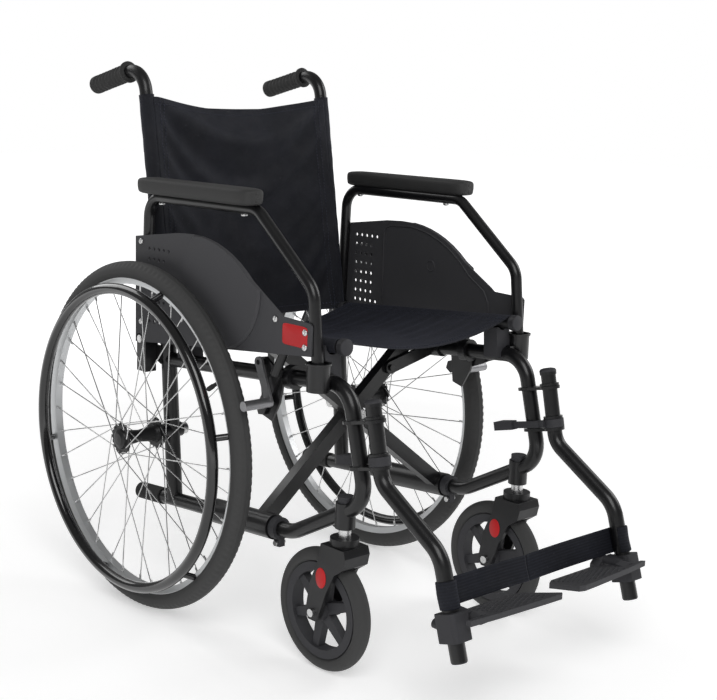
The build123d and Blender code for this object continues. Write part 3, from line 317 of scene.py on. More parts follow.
# ---- finishes ----------------------------------------------------------------------------
class Finish:
    """A material being wired: shader, coordinates and short ways to add nodes."""

    def __init__(self, name, rough, metal=0.0, coat=0.0, coat_rough=0.08, sheen=0.0, specular=0.5):
        self.material = bpy.data.materials.new(name)
        self.material.use_nodes = True
        self.tree = self.material.node_tree
        self.shader = self.tree.nodes["Principled BSDF"]
        self.coords = self.tree.nodes.new("ShaderNodeTexCoord")
        s = self.shader.inputs
        s["Roughness"].default_value = rough
        s["Metallic"].default_value = metal
        s["Coat Weight"].default_value = coat
        s["Coat Roughness"].default_value = coat_rough
        s["Sheen Weight"].default_value = sheen
        s["Sheen Roughness"].default_value = 0.45
        s["Specular IOR Level"].default_value = specular

    def add(self, kind, links=(), **values):
        """New node with its properties, plain input values and links (input, output socket)."""
        node = self.tree.nodes.new(kind)
        for key, value in values.items():
            if hasattr(node, key):
                setattr(node, key, value)
            else:
                node.inputs[key.replace("_", " ").title()].default_value = value
        for key, socket in links:
            self.tree.links.new(socket, node.inputs[key])
        return node

    def place(self, uv=False, stretch=(1, 1, 1)):
        """Coordinates of the pattern, stretched along each direction."""
        out = self.coords.outputs["UV" if uv else "Object"]
        if stretch == (1, 1, 1):
            return out
        return self.add("ShaderNodeMapping", [("Vector", out)], Scale=stretch).outputs[0]

    def noise(self, scale, detail=3.0, uv=False, stretch=(1, 1, 1)):
        """Cloudy value from 0 to 1."""
        node = self.add("ShaderNodeTexNoise", [("Vector", self.place(uv, stretch))])
        node.inputs["Scale"].default_value = scale
        node.inputs["Detail"].default_value = detail
        return node.outputs["Fac"]

    def cells(self, scale, uv=False, stretch=(1, 1, 1)):
        """Pebbled value: distance to the nearest of many scattered points."""
        node = self.add("ShaderNodeTexVoronoi", [("Vector", self.place(uv, stretch))])
        node.inputs["Scale"].default_value = scale
        return node.outputs["Distance"]

    def span(self, socket, low, high, start=0.3, stop=0.7):
        """Carries a value from start..stop to low..high."""
        node = self.add("ShaderNodeMapRange", [("Value", socket)])
        for key, value in (("From Min", start), ("From Max", stop), ("To Min", low), ("To Max", high)):
            node.inputs[key].default_value = value
        return node.outputs[0]

    def tint(self, socket, dark, light):
        """Colour between dark and light by a value."""
        node = self.add("ShaderNodeMix", [("Factor", socket)], data_type="RGBA")
        for key, value in (("A", dark), ("B", light)):
            [i for i in node.inputs if i.name == key and i.type == "RGBA"][0].default_value = (*value, 1)
        return [o for o in node.outputs if o.type == "RGBA"][0]

    def over(self, factor, under, light):
        """Lays a colour over another by a value."""
        node = self.add("ShaderNodeMix", [("Factor", factor)], data_type="RGBA")
        a = [i for i in node.inputs if i.name == "A" and i.type == "RGBA"][0]
        b = [i for i in node.inputs if i.name == "B" and i.type == "RGBA"][0]
        self.tree.links.new(under, a)
        b.default_value = (*light, 1)
        return [o for o in node.outputs if o.type == "RGBA"][0]

    def maths(self, kind, a, b=None):
        """Sum, product or other sum of two values."""
        node = self.add("ShaderNodeMath", operation=kind)
        for i, value in enumerate((a, b)):
            if value is None:
                continue
            if isinstance(value, (int, float)):
                node.inputs[i].default_value = value
            else:
                self.tree.links.new(value, node.inputs[i])
        return node.outputs[0]

    def paint(self, socket):
        """Sends a colour to the shader."""
        self.tree.links.new(socket, self.shader.inputs["Base Color"])

    def gloss(self, socket):
        """Sends a roughness to the shader."""
        self.tree.links.new(socket, self.shader.inputs["Roughness"])

    def emboss(self, heights, soften=0.0):
        """Stacks heights, each (value, depth in metres), on a normal rounded at the edges."""
        normal = None
        if soften:
            bevel = self.add("ShaderNodeBevel", samples=4)
            bevel.inputs["Radius"].default_value = soften
            normal = bevel.outputs[0]
        for socket, depth in heights:
            bump = self.add("ShaderNodeBump", [("Height", socket)])
            bump.inputs["Distance"].default_value = depth
            bump.inputs["Strength"].default_value = 1.0
            if normal is not None:
                self.tree.links.new(normal, bump.inputs["Normal"])
            normal = bump.outputs[0]
        self.tree.links.new(normal, self.shader.inputs["Normal"])

    def edge(self, low=0.52, high=0.6):
        """1 on worn outer edges, 0 elsewhere, from how sharply the surface turns."""
        geometry = self.add("ShaderNodeNewGeometry")
        return self.span(geometry.outputs["Pointiness"], 0.0, 1.0, low, high)


def shade(base, factor):
    """A colour made darker or lighter by a factor."""
    return tuple(min(1.0, c * factor) for c in base)


def coated(name, base, rough, coat, peel=0.00006, wear=0.25):
    """Powder coat or enamel: slow cloudiness in colour and gloss, fine orange peel, rubbed edges."""
    f = Finish(name, rough, coat=coat, coat_rough=max(0.05, rough * 0.5), specular=0.3)
    body = f.tint(f.noise(7.0), shade(base, 0.8), shade(base, 1.35))
    rub = f.maths("MULTIPLY", f.edge(), f.maths("MULTIPLY", f.noise(90.0), wear))
    f.paint(f.over(rub, body, shade(base, 7.0)))
    f.gloss(f.span(f.noise(16.0, 5.0), rough * 0.82, rough * 1.22))
    f.emboss([(f.noise(650.0, 2.0), peel)], soften=0.0008)
    return f


def moulded(name, base, rough, grain=900.0, depth=0.00012, dust=0.1, soften=0.0012):
    """Moulded plastic: pebbled grain, slow cloudiness, pale scuffs on its edges, light dust."""
    f = Finish(name, rough, specular=0.22)
    body = f.tint(f.noise(9.0), shade(base, 0.82), shade(base, 1.25))
    scuff = f.maths("MULTIPLY", f.edge(), f.maths("MULTIPLY", f.noise(60.0), 0.4))
    body = f.over(scuff, body, shade(base, 4.0))
    film = f.span(f.noise(24.0, 6.0), 0.0, dust, 0.55, 0.85)
    f.paint(f.over(film, body, (0.07, 0.068, 0.066)))
    f.gloss(f.span(f.noise(35.0, 4.0), rough * 0.85, rough * 1.15))
    f.emboss([(f.cells(grain), depth), (f.noise(45.0), 0.0001)], soften=soften)
    return f


def rubbery(name, base, rough, grain=700.0, depth=0.00015, dust=0.18):
    """Rubber: dull, finely rough, with dust caught in its hollows."""
    f = Finish(name, rough, specular=0.16)
    body = f.tint(f.noise(14.0), shade(base, 0.8), shade(base, 1.3))
    film = f.span(f.noise(55.0, 6.0), 0.0, dust, 0.48, 0.8)
    f.paint(f.over(film, body, (0.055, 0.053, 0.051)))
    f.gloss(f.span(f.noise(80.0), rough * 0.9, min(1.0, rough * 1.12)))
    f.emboss([(f.noise(grain, 4.0), depth)], soften=0.0008)
    return f


def bare_metal(name, base, rough, stretch=(1, 1, 1), lines=500.0, soften=0.0004):
    """Bright metal: fine drawn or brushed lines, dull patches and faint tarnish."""
    f = Finish(name, rough, metal=1.0)
    body = f.tint(f.noise(20.0), shade(base, 0.84), shade(base, 1.08))
    f.paint(f.over(f.span(f.noise(70.0, 6.0), 0.0, 0.35, 0.55, 0.8), body, shade(base, 0.55)))
    f.gloss(f.span(f.noise(lines, 2.0, stretch=stretch), rough * 0.7, rough * 1.4))
    f.emboss([(f.noise(lines, 2.0, stretch=stretch), 0.00003)], soften=soften)
    return f


def woven(name, base, pitch, sheen, ribs=False):
    """Cloth read from its own UVs, which are in metres: warp and weft are two trains of bands a pitch apart,
    crossed, with slub noise along the threads and slow fading. The bands also paint shade into the weave's
    hollows and a highlight onto the thread tops."""
    f = Finish(name, 0.78, sheen=sheen, specular=0.3)
    f.shader.inputs["Sheen Tint"].default_value = (*shade(base, 14.0), 1)
    scale = TAU / 20.0 / pitch
    warp = f.add("ShaderNodeTexWave", [("Vector", f.place(True))], wave_type="BANDS", bands_direction="X")
    weft = f.add("ShaderNodeTexWave", [("Vector", f.place(True))], wave_type="BANDS", bands_direction="Y")
    warp.inputs["Scale"].default_value = scale
    weft.inputs["Scale"].default_value = scale * (0.35 if ribs else 1.0)
    threads = f.maths("MULTIPLY", warp.outputs["Fac"], weft.outputs["Fac"])
    slub = f.noise(1.0, 2.0, True, (90, 700, 1))
    height = f.maths("ADD", threads, f.maths("MULTIPLY", slub, 0.5))
    # Painted shade and painted highlight: the weave's colour is darker in the hollows between threads and
    # lighter on the thread tops, following the same bands as its bump.
    body = f.tint(threads, shade(base, 0.55), shade(base, 1.5))
    fade = f.span(f.noise(11.0, 5.0), 0.0, 0.35, 0.45, 0.8)
    body = f.over(fade, body, shade(base, 2.1))
    lint = f.span(f.noise(260.0, 2.0), 0.0, 0.22, 0.66, 0.8)
    f.paint(f.over(lint, body, (0.10, 0.10, 0.11)))
    f.gloss(f.span(f.noise(30.0), 0.7, 0.86))
    f.emboss([(height, 0.00022), (f.noise(60.0, 4.0), 0.0006)])
    return f


def make_finishes():
    """Every finish of the chair, by the name of what it covers."""
    c = colours()
    paint, plastic, rubber = tuple(c.paint), tuple(c.fitting), tuple(c.rubber)
    coated("frame_paint", paint, 0.34, 0.25)
    coated("pushrim_enamel", shade(paint, 0.8), 0.16, 0.8, peel=0.00002, wear=0.12)
    coated("fork_paint", shade(paint, 1.35), 0.42, 0.1)
    moulded("fitting_plastic", plastic, 0.46)
    moulded("panel_plastic", tuple(c.panel), 0.55, grain=620.0, depth=0.00018, dust=0.08)
    moulded("caster_plastic", shade(plastic, 1.2), 0.5)
    rubbery("grip_rubber", rubber, 0.62)
    rubbery("tyre_rubber", shade(rubber, 1.2), 0.74, dust=0.3)
    moulded("pad_skin", tuple(c.pad), 0.42, grain=380.0, depth=0.00022, dust=0.04)
    bare_metal("rim_alloy", tuple(c.alloy), 0.3, lines=260.0)
    bare_metal("spoke_wire", tuple(c.steel), 0.2)
    bare_metal("bolt_zinc", shade(tuple(c.steel), 1.1), 0.27, lines=900.0)
    bare_metal("lock_casting", (0.33, 0.33, 0.34), 0.42, lines=500.0)
    woven("sling_nylon", tuple(c.cloth), 0.0013, 0.28)
    woven("strap_web", tuple(c.webbing), 0.0016, 0.2, ribs=True)
    moulded("thread", shade(tuple(c.cloth), 1.9), 0.6, grain=1500.0, depth=0.00005, dust=0.0, soften=0.0001)
    moulded("label_face", tuple(c.label), 0.35, grain=300.0, depth=0.00002, dust=0.1, soften=0.0002)


SLOT_FINISH = {
    "frame_black": "frame_paint", "grip_rubber": "grip_rubber", "fitting_plastic": "fitting_plastic",
    "bolt_steel": "bolt_zinc", "tyre_rubber": "tyre_rubber", "rim_alloy": "rim_alloy",
    "spoke_steel": "spoke_wire", "hub_black": "fork_paint", "handrim_black": "pushrim_enamel",
    "caster_rubber": "tyre_rubber", "caster_plastic": "caster_plastic", "sling_fabric": "sling_nylon",
    "pad_skin": "pad_skin", "panel_plastic": "panel_plastic", "strap_webbing": "strap_web",
    "lock_metal": "lock_casting",
}


# ---- cloth -------------------------------------------------------------------------------
def settle(piece, pinned, frames, slack, shape, reach):
    """Lets a grid of cloth settle: pinned vertices hold, the rest has slack as a share of its
    length and falls under its weight. No point may move further than reach. Gives the points."""
    start = np.empty(len(piece.data.vertices) * 3)
    piece.data.vertices.foreach_get("co", start)
    start = start.reshape(-1, 3)
    scene = bpy.context.scene
    group = piece.vertex_groups.new(name="held")
    group.add(np.flatnonzero(pinned.ravel()).tolist(), 1.0, "REPLACE")
    cloth = piece.modifiers.new("settle", "CLOTH")
    s = cloth.settings
    s.vertex_group_mass = "held"
    s.quality = 7
    s.mass = 0.12
    s.tension_stiffness = 40.0
    s.compression_stiffness = 40.0
    s.shear_stiffness = 18.0
    s.bending_stiffness = 6.0
    s.air_damping = 4.0
    s.tension_damping = 12.0
    s.compression_damping = 12.0
    s.shrink_min = -slack
    cloth.collision_settings.use_collision = False
    cloth.point_cache.frame_start = 1
    cloth.point_cache.frame_end = frames + 1
    for number in range(1, frames + 1):
        scene.frame_set(number)
    graph = bpy.context.evaluated_depsgraph_get()
    done = np.empty_like(start).ravel()
    piece.evaluated_get(graph).data.vertices.foreach_get("co", done)
    done = done.reshape(-1, 3)
    piece.modifiers.remove(cloth)
    piece.vertex_groups.clear()
    scene.frame_set(1)
    shift = done - start
    far = np.linalg.norm(shift, axis=1, keepdims=True)
    shift *= np.minimum(1.0, reach / np.maximum(far, 1e-9))
    piece.data.vertices.foreach_set("co", (start + shift).ravel())
    piece.data.update()
    return (start + shift).reshape(shape)


def thicken(piece, thickness, levels=1):
    """Gives cloth its thickness with rounded edges, applied to the mesh."""
    solid = piece.modifiers.new("thickness", "SOLIDIFY")
    solid.thickness = thickness
    solid.offset = 0.0
    solid.use_even_offset = False
    smooth = piece.modifiers.new("smooth", "SUBSURF")
    smooth.levels = levels
    smooth.render_levels = levels
    bake_modifiers(piece)
    return piece


def bake_modifiers(piece):
    """Applies a piece's modifiers to its mesh."""
    graph = bpy.context.evaluated_depsgraph_get()
    mesh = bpy.data.meshes.new_from_object(piece.evaluated_get(graph), depsgraph=graph)
    piece.modifiers.clear()
    piece.data = mesh


def stitch_grid(line, lift, stitch, width=0.0009):
    """Short raised threads along a line of surface points: each stitch is a six-sided bead whose
    radius follows a half sine along its length, two thirds of a stitch long."""
    step = np.linalg.norm(np.diff(line, axis=0), axis=1)
    along = np.append(0, np.cumsum(step))
    count = max(2, int(along[-1] / stitch))
    where = (np.arange(count) + 0.5) * along[-1] / count
    t = np.linspace(-0.34, 0.34, 5)
    at = where[:, None] + t[None] * stitch
    pts = np.stack([np.interp(at, along, line[:, k]) for k in range(3)], axis=-1)
    pts = pts + lift
    radius = width * np.sqrt(np.clip(1.02 - (t / 0.34) ** 2, 0.02, 1))
    return [sweep(p, radius, 6, side=lift / np.linalg.norm(lift)) for p in pts]


def hem_line(pts, column):
    """One column of a cloth grid, as points."""
    return pts[:, column]


def belly(across, up):
    """Broad folds of a slung sheet: three slanted waves, each inside a soft window, that fade out
    at the held edges. across and up run from 0 to 1."""
    hold = np.sin(math.pi * across) ** 0.6
    one = np.sin(TAU * (1.15 * across + 0.9 * up + 0.1)) * np.exp(-((up - 0.70) / 0.32) ** 2)
    two = np.sin(TAU * (1.9 * across - 1.4 * up + 0.35)) * np.exp(-((up - 0.25) / 0.30) ** 2)
    three = 0.5 * np.sin(TAU * (3.1 * across + 2.3 * up)) * np.exp(-((across - 0.75) / 0.3) ** 2)
    return hold * (0.8 * one + 0.75 * two + three)


def cane_line(z):
    """Point on the back cane's straight part at height z, in millimetres, as (f, z)."""
    foot = 10 - (474 - 179) * math.tan(math.radians(4.5))
    return foot - (z - 474) * math.tan(math.radians(9.4))


class WHEELCHAIR_OT_back_cloth(bpy.types.Operator):
    """Back upholstery: a slung sheet between two sleeves on the back canes"""
    bl_idname = "wheelchair.back_cloth"
    bl_label = "Back cloth"

    def execute(self, context):
        s = sizes()
        low, high, half = 490.0, 888.0, 203.0
        lean = math.radians(9.4)
        front = np.array([0, -math.cos(lean), -math.sin(lean)])
        rows, cols = 64, 88
        z = np.linspace(low, high, rows)
        up, across = np.meshgrid(np.linspace(0, 1, rows), np.linspace(0, 1, cols), indexing="ij")
        line = np.stack([mm(0, cane_line(v), v) for v in z])
        edge = half - 5.0
        x = (across * 2 - 1) * edge / 1000
        sag = s.back_sag * np.sin(math.pi * across) ** 0.8 * (0.75 + 0.5 * np.sin(math.pi * up))
        depth = 0.0134 - sag + s.wrinkle * belly(across, up)
        pts = line[:, None] + depth[..., None] * front
        pts[..., 0] = x
        hem = 0.006 * np.sin(math.pi * across) * (np.where(up > 0.5, -1, 1) * np.abs(up - 0.5) * 2)
        pts[..., 2] += hem * 0.8
        sheet = surface("back_cloth", pts)
        pinned = (across < 0.03) | (across > 0.97)
        pts = settle(sheet, pinned, 24, 0.012, pts.shape, 0.022)
        face = np.cross(np.gradient(pts, axis=1), np.gradient(pts, axis=0))
        face /= np.linalg.norm(face, axis=2, keepdims=True)
        face *= np.sign((face @ front).mean())
        threads = []
        for column in (3, 5, cols - 6, cols - 4):
            threads += stitch_grid(hem_line(pts, column), front * 0.0012, s.stitch)
        for row in (2, rows - 3):
            threads += stitch_grid(pts[row], front * 0.0012, s.stitch)
        thicken(sheet, s.cloth_thickness)
        dress(sheet, "sling_nylon")
        seams = join_grids("back_seams", threads)
        dress(seams, "thread")
        for name, side in SIDES:
            rise = np.linspace(low, high, 60)
            path = np.stack([mm(side * half, cane_line(v), v) for v in rise])
            pucker = 1 + 0.018 * np.sin(rise / 11.0) + 0.012 * np.sin(rise / 4.7 + 1)
            outer = sweep(path, 0.0134 * pucker, 28)
            inner = sweep(path, np.full(60, 0.0118), 28)
            shell = np.concatenate([outer, inner[::-1], outer[:1]])
            sleeve = surface(f"back_sleeve_{name}", shell, round_v=True)
            face_outwards(merge_points(sleeve))
            dress(sleeve, "sling_nylon")
            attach(sleeve, f"{name}_frame")
        for piece in (sheet, seams):
            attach(piece, "right_frame")
            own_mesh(piece)
        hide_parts("back_sling")
        return {"FINISHED"}


def merge_points(piece):
    """Joins points that share a place."""
    bm = bmesh.new()
    bm.from_mesh(piece.data)
    bmesh.ops.remove_doubles(bm, verts=bm.verts, dist=1e-6)
    bm.to_mesh(piece.data)
    bm.free()
    return piece


def incline(s, h):
    """Point of the frame's tilted plane as (f, z) in millimetres: s along the lower tube, h above."""
    return (s * math.cos(TILT) - h * math.sin(TILT), 179 + s * math.sin(TILT) + h * math.cos(TILT))


class WHEELCHAIR_OT_seat_cloth(bpy.types.Operator):
    """Seat upholstery: one cloth that wraps both rails and hangs between them"""
    bl_idname = "wheelchair.seat_cloth"
    bl_label = "Seat cloth"

    def execute(self, context):
        s = sizes()
        rail, radius = 197.0, 12.2
        rows, wrap, span = 60, 9, 76
        turn = np.linspace(math.radians(-48), math.radians(90), wrap)
        left = np.stack([rail + radius * np.cos(turn), 309 + radius * np.sin(turn)], axis=1)
        x = np.linspace(rail, -rail, span)[1:-1]
        flat = np.stack([x, np.full(len(x), 309 + radius)], axis=1)
        right = left[::-1] * (-1, 1)
        section = np.concatenate([left, flat, right])
        along = np.linspace(19.0, 427.0, rows)
        tilt = TILT
        f0 = along[:, None]
        h = np.broadcast_to(section[None, :, 1], (rows, len(section))).copy()
        share = np.clip((section[:, 0] + rail) / (2 * rail), 0, 1)
        up, across = np.meshgrid(np.linspace(0, 1, rows), share, indexing="ij")
        inside = np.abs(section[:, 0]) < rail
        hang = np.where(inside, np.sin(math.pi * across) ** 0.75, 0)
        h -= hang * s.seat_sag * 1000 * (0.75 + 0.55 * np.abs(up - 0.5) * 2)
        h += np.where(inside, belly(across, up * 0.9 + 0.05), 0) * s.wrinkle * 800
        base = (f0 + 309 * math.sin(tilt)) / math.cos(tilt)
        f = base * math.cos(tilt) - h * math.sin(tilt)
        z = 179 + base * math.sin(tilt) + h * math.cos(tilt)
        origin = mm(0, 0, 0)
        pts = np.stack([np.broadcast_to(section[None, :, 0], f.shape) / 1000,
                        origin[1] - f / 1000, z / 1000], axis=-1)
        sheet = surface("seat_cloth", pts)
        pinned = np.broadcast_to(~(np.abs(section[:, 0]) < rail - 7), (rows, len(section)))
        pts = settle(sheet, pinned, 24, 0.010, pts.shape, 0.018)
        top = np.array([0, math.sin(tilt), math.cos(tilt)])
        threads = []
        for column in (wrap + 2, wrap + 4, len(section) - wrap - 5, len(section) - wrap - 3):
            threads += stitch_grid(hem_line(pts, column), top * 0.0012, s.stitch)
        for row in (2, 3, rows - 4, rows - 3):
            threads += stitch_grid(pts[row, wrap:-wrap], top * 0.0012, s.stitch)
        thicken(sheet, s.cloth_thickness)
        dress(sheet, "sling_nylon")
        seams = dress(join_grids("seat_seams", threads), "thread")
        for piece in (sheet, seams):
            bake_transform(piece)
        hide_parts("seat_sling")
        return {"FINISHED"}


class WHEELCHAIR_OT_calf_strap(bpy.types.Operator):
    """Calf strap: webbing from hanger to hanger, parted at the chair's middle"""
    bl_idname = "wheelchair.calf_strap"
    bl_label = "Calf strap"

    def execute(self, context):
        s = sizes()
        down = mm(0, 701, 111) - mm(0, 656, 257)
        down /= np.linalg.norm(down)
        back = np.array([0, 1.0, 0]) - down * down[1]
        back /= np.linalg.norm(back)
        for name, side in SIDES:
            centre = mm(side * 203, 656 + 45 * (257 - 203) / 146, 203)
            r = 0.0125 + 0.0004 + s.strap_thickness / 2
            t = np.linspace(0, 1, 46)
            start = centre + back * r
            stop = np.array([side * 0.0004, start[1], start[2]])
            band = start + (stop - start) * t[:, None]
            sag = 0.010 * np.sin(t * math.pi / 2) ** 2
            band = band + back * sag[:, None] + np.array([0, 0, -0.004]) * (t[:, None] ** 2)
            angle = np.linspace(math.radians(-150), math.radians(90), 36)
            out = np.array([side, 0, 0])
            ring = centre + r * (np.cos(angle)[:, None] * out + np.sin(angle)[:, None] * back)
            line = np.concatenate([ring, band[1:]])
            width = np.linspace(-0.0205, 0.0205, 14)
            pts = line[:, None] + width[None, :, None] * down
            pts[:, :, 1] += 0.0006 * np.cos(np.linspace(-1, 1, 14) * math.pi)[None]
            strap = surface(f"calf_strap_{name}", pts)
            thicken(strap, s.strap_thickness)
            dress(strap, "strap_web")
            threads = []
            for row in (1, -2):
                threads += stitch_grid(pts[36:, row], back * 0.0018, s.stitch)
            threads += stitch_grid(pts[44, 1:-1], back * 0.0018, s.stitch)
            seams = dress(join_grids(f"calf_strap_seams_{name}", threads), "thread")
            for piece in (strap, seams):
                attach(piece, f"{name}_hanger")
            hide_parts(f"{name}_calf_strap")
        return {"FINISHED"}


# ---- pads and grips ----------------------------------------------------------------------
class WHEELCHAIR_OT_arm_pads(bpy.types.Operator):
    """Armrest pads: moulded soft pads with a flat top, rounded ends and two screws below"""
    bl_idname = "wheelchair.arm_pads"
    bl_label = "Armrest pads"

    def execute(self, context):
        s = sizes()
        for name, side in SIDES:
            low, high = (np.array(v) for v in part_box(f"{name}_arm_pad"))
            centre = (low + high) / 2
            half = (high - low) / 2
            rows, cols = 84, 56
            t = np.linspace(-1, 1, rows)
            t = np.sin(t * math.pi / 2)
            end = (1 - np.abs(t) ** 14) ** (1 / 3.2)
            angle = np.linspace(0, TAU, cols, endpoint=False)
            c, d = np.cos(angle), np.sin(angle)
            px = np.sign(c) * np.abs(c) ** 0.42
            pz = np.sign(d) * np.abs(d) ** 0.42
            tuck = np.where(pz < 0, 1 - 0.10 * np.abs(pz), 1.0)
            pts = np.empty((rows, cols, 3))
            pts[..., 0] = centre[0] + half[0] * end[:, None] * (px * tuck)[None]
            pts[..., 1] = centre[1] + half[1] * t[:, None]
            crown = 0.0007 * (1 - px ** 2)[None] * np.where(pz > 0, 1, 0)[None]
            lift = half[2] * (0.55 + 0.45 * end[:, None]) * pz[None]
            pts[..., 2] = centre[2] + lift + crown - 0.0005
            pad = surface(f"arm_pad_{name}", pts, round_v=True, caps=True)
            face_outwards(pad)
            dress(pad, "pad_skin")
            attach(pad, f"{name}_armrest")
            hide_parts(f"{name}_arm_pad")
            tube_x = side * 0.232
            screws = []
            for f in (8.0, 232.0):
                spot = mm(0, f, 718 - 9.6)
                screws.append(((tube_x, spot[1], spot[2]), (0, 0, -1), 0.0055, 0.0035))
            fasteners(f"arm_pad_screws_{name}", f"{name}_armrest", screws, "bolt_zinc")
        return {"FINISHED"}


class WHEELCHAIR_OT_grips(bpy.types.Operator):
    """Push grips: rubber with a flange, finger grooves below and fine ribs"""
    bl_idname = "wheelchair.grips"
    bl_label = "Push grips"

    def execute(self, context):
        s = sizes()
        drop = math.radians(13)
        for name, side in SIDES:
            corner = (cane_line(937.0), 937.0)
            tip = (corner[0] - 158 * math.cos(drop), corner[1] - 158 * math.sin(drop))
            end = mm(side * 203, *tip)
            along = np.array([0, math.cos(drop), -math.sin(drop)])
            start = end - along * 0.112
            t = np.concatenate([np.linspace(0, 0.05, 9), np.linspace(0.055, 0.96, 120),
                                np.linspace(0.965, 1.0, 10)])
            path = start + along * (t[:, None] * 0.112)
            angle = np.linspace(0, TAU, 40, endpoint=False)
            r = np.full(len(t), s.grip_radius)
            flange = np.clip(1 - (t / 0.045) ** 6, 0, 1)
            r = r + 0.003 * (t < 0.05) * np.sqrt(flange)
            end_round = np.clip((t - 0.95) / 0.05, 0, 1)
            r = r * np.sqrt(np.clip(1 - 0.85 * end_round ** 2.2, 0.02, 1))
            fingers = s.groove_depth * np.clip(np.sin(TAU * (t - 0.10) / 0.19), -1, 1) ** 2
            fingers = fingers * ((t > 0.1) & (t < 0.86))
            below = np.clip(-np.sin(angle), 0, 1) ** 0.8 * 0.75 + 0.25
            ribs = 0.00035 * np.sin(TAU * t * 56) * ((t > 0.08) & (t < 0.93))
            grooves = r[:, None] - fingers[:, None] * below[None] + ribs[:, None] * (1 - below[None] * 0.6)
            outer = sweep(path, grooves, 40)
            grip = surface(f"push_grip_{name}", outer, round_v=True, caps=True)
            face_outwards(grip)
            dress(grip, "grip_rubber")
            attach(grip, f"{name}_frame")
            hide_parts(f"{name}_push_grip")
        return {"FINISHED"}


# ---- wheels ------------------------------------------------------------------------------
class WHEELCHAIR_OT_rear_tyres(bpy.types.Operator):
    """Rear tyres: round casing with a ribbed tread, side beads and spoke nipples in the rim"""
    bl_idname = "wheelchair.rear_tyres"
    bl_label = "Rear tyres"

    def execute(self, context):
        s = sizes()
        for name, side in SIDES:
            low, high = (np.array(v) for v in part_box(f"{name}_tyre"))
            centre = (low + high) / 2
            wheel = (high[2] - low[2]) / 2
            r = 0.0175
            turns, cols = 600, 44
            phi = np.linspace(math.radians(-38), math.radians(218), cols)
            theta = np.linspace(0, TAU, turns, endpoint=False)
            crown = np.clip((np.sin(phi) - 0.35) / 0.25, 0, 1)
            groove = np.maximum(np.exp(-((phi - math.pi / 2) / 0.07) ** 2),
                                np.exp(-((np.abs(phi - math.pi / 2) - 0.42) / 0.06) ** 2))
            block = 0.5 + 0.5 * np.sign(np.sin(theta[:, None] * s.tread_blocks
                                                 + 3 * np.abs(phi[None] - math.pi / 2)))
            shoulder = np.clip((np.abs(phi - math.pi / 2) - 0.48) / 0.1, 0, 1) * crown
            depth = s.tread_depth * (crown * groove)[None] + 0.8 * s.tread_depth * block * shoulder[None]
            bead = 0.0005 * np.exp(-((np.abs(phi - math.pi / 2) - 1.75) / 0.06) ** 2)
            rr = r - depth + bead[None]
            x = centre[0] + rr * np.cos(phi)[None]
            radial = (wheel - r) + rr * np.sin(phi)[None]
            pts = np.stack([x, centre[1] + radial * np.cos(theta)[:, None],
                            centre[2] + radial * np.sin(theta)[:, None]], axis=-1)
            loop = np.concatenate([pts, pts[:1]])
            tyre = surface(f"rear_tyre_{name}", loop, round_v=True)
            face_outwards(merge_points(tyre))
            dress(tyre, "tyre_rubber")
            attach(tyre, f"{name}_wheel")
            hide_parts(f"{name}_tyre")
            grids = []
            well = wheel - r * 1.1 - 0.020
            for i in range(36):
                a = TAU / 36 * i
                out = np.array([0, math.cos(a), math.sin(a)])
                x0 = centre[0] + (0.0035 if i % 2 else -0.0035)
                at = np.array([x0, centre[1], centre[2]]) + out * (well - 0.011)
                profile = [(0.0, 0.0014), (0.0008, 0.0019), (0.009, 0.0019), (0.0105, 0.0026)]
                grids.append(lathe(at, out, profile, 8))
            small_part(f"spoke_nipples_{name}", grids, "bolt_zinc", f"{name}_wheel")
            stem_dir = np.array([0, math.cos(2.6), math.sin(2.6)])
            foot = np.array([centre[0], centre[1], centre[2]]) + stem_dir * (well + 0.001)
            profile = [(0, 0.0033), (-0.020, 0.0033), (-0.021, 0.0042), (-0.034, 0.0042), (-0.036, 0.003)]
            stem = lathe(foot, stem_dir, profile, 16)
            small_part(f"valve_{name}", [stem], "grip_rubber", f"{name}_wheel")
        return {"FINISHED"}


# ---- small hardware ----------------------------------------------------------------------
def panel_screws(name, side):
    """Screws that hold the side panel."""
    places = ((-34, 640), (400, 545), (400, 522), (60, 500), (-34, 500), (330, 556))
    screws = [(mm(side * 245.5, f, z), (side, 0, 0), 0.0052, 0.003) for f, z in places]
    fasteners(f"panel_screws_{name}", f"{name}_armrest", screws, "bolt_zinc")


def hanger_plugs(name, side):
    """Domed plugs in both ends of the hanger tube."""
    up = mm(0, 508, 446) - mm(0, 533, 334)
    up /= np.linalg.norm(up)
    dome = [(-0.001, 0.0142), (0.0015, 0.0140), (0.004, 0.0118), (0.0052, 0.007), (0.0055, 0.0004)]
    cap = lathe(mm(side * 203, 508, 446) + up * 0.006, up, dome, 36)
    down = mm(0, 701, 111) - mm(0, 656, 257)
    down /= np.linalg.norm(down)
    disc = [(-0.002, 0.0122), (0.0, 0.0124), (0.002, 0.0112), (0.0026, 0.0003)]
    foot = lathe(mm(side * 203, 701, 111), down, disc, 32)
    small_part(f"hanger_plugs_{name}", [cap, foot], "fitting_plastic", f"{name}_hanger")


def rail_caps(name, side):
    """Ribbed caps on both ends of the seat rail."""
    rows = [(0.0, 0.0132)]
    for k in range(5):
        rows += [(0.0012 + k * 0.0018, 0.0136), (0.0021 + k * 0.0018, 0.0126)]
    rows += [(0.0105, 0.0130), (0.0115, 0.0115), (0.0118, 0.0003)]
    rings = []
    for s0, way in ((16.0, -1), (430.0, 1)):
        base = (s0 + 309 * math.sin(TILT)) / math.cos(TILT)
        f, z = incline(base, 309)
        ahead = np.array([0, -math.cos(TILT), math.sin(TILT)]) * way
        rings.append(lathe(mm(side * 197, f, z) + ahead * 0.0005, ahead, rows, 36))
    small_part(f"rail_caps_{name}", rings, "fitting_plastic", "cross_b" if side < 0 else "cross_a")


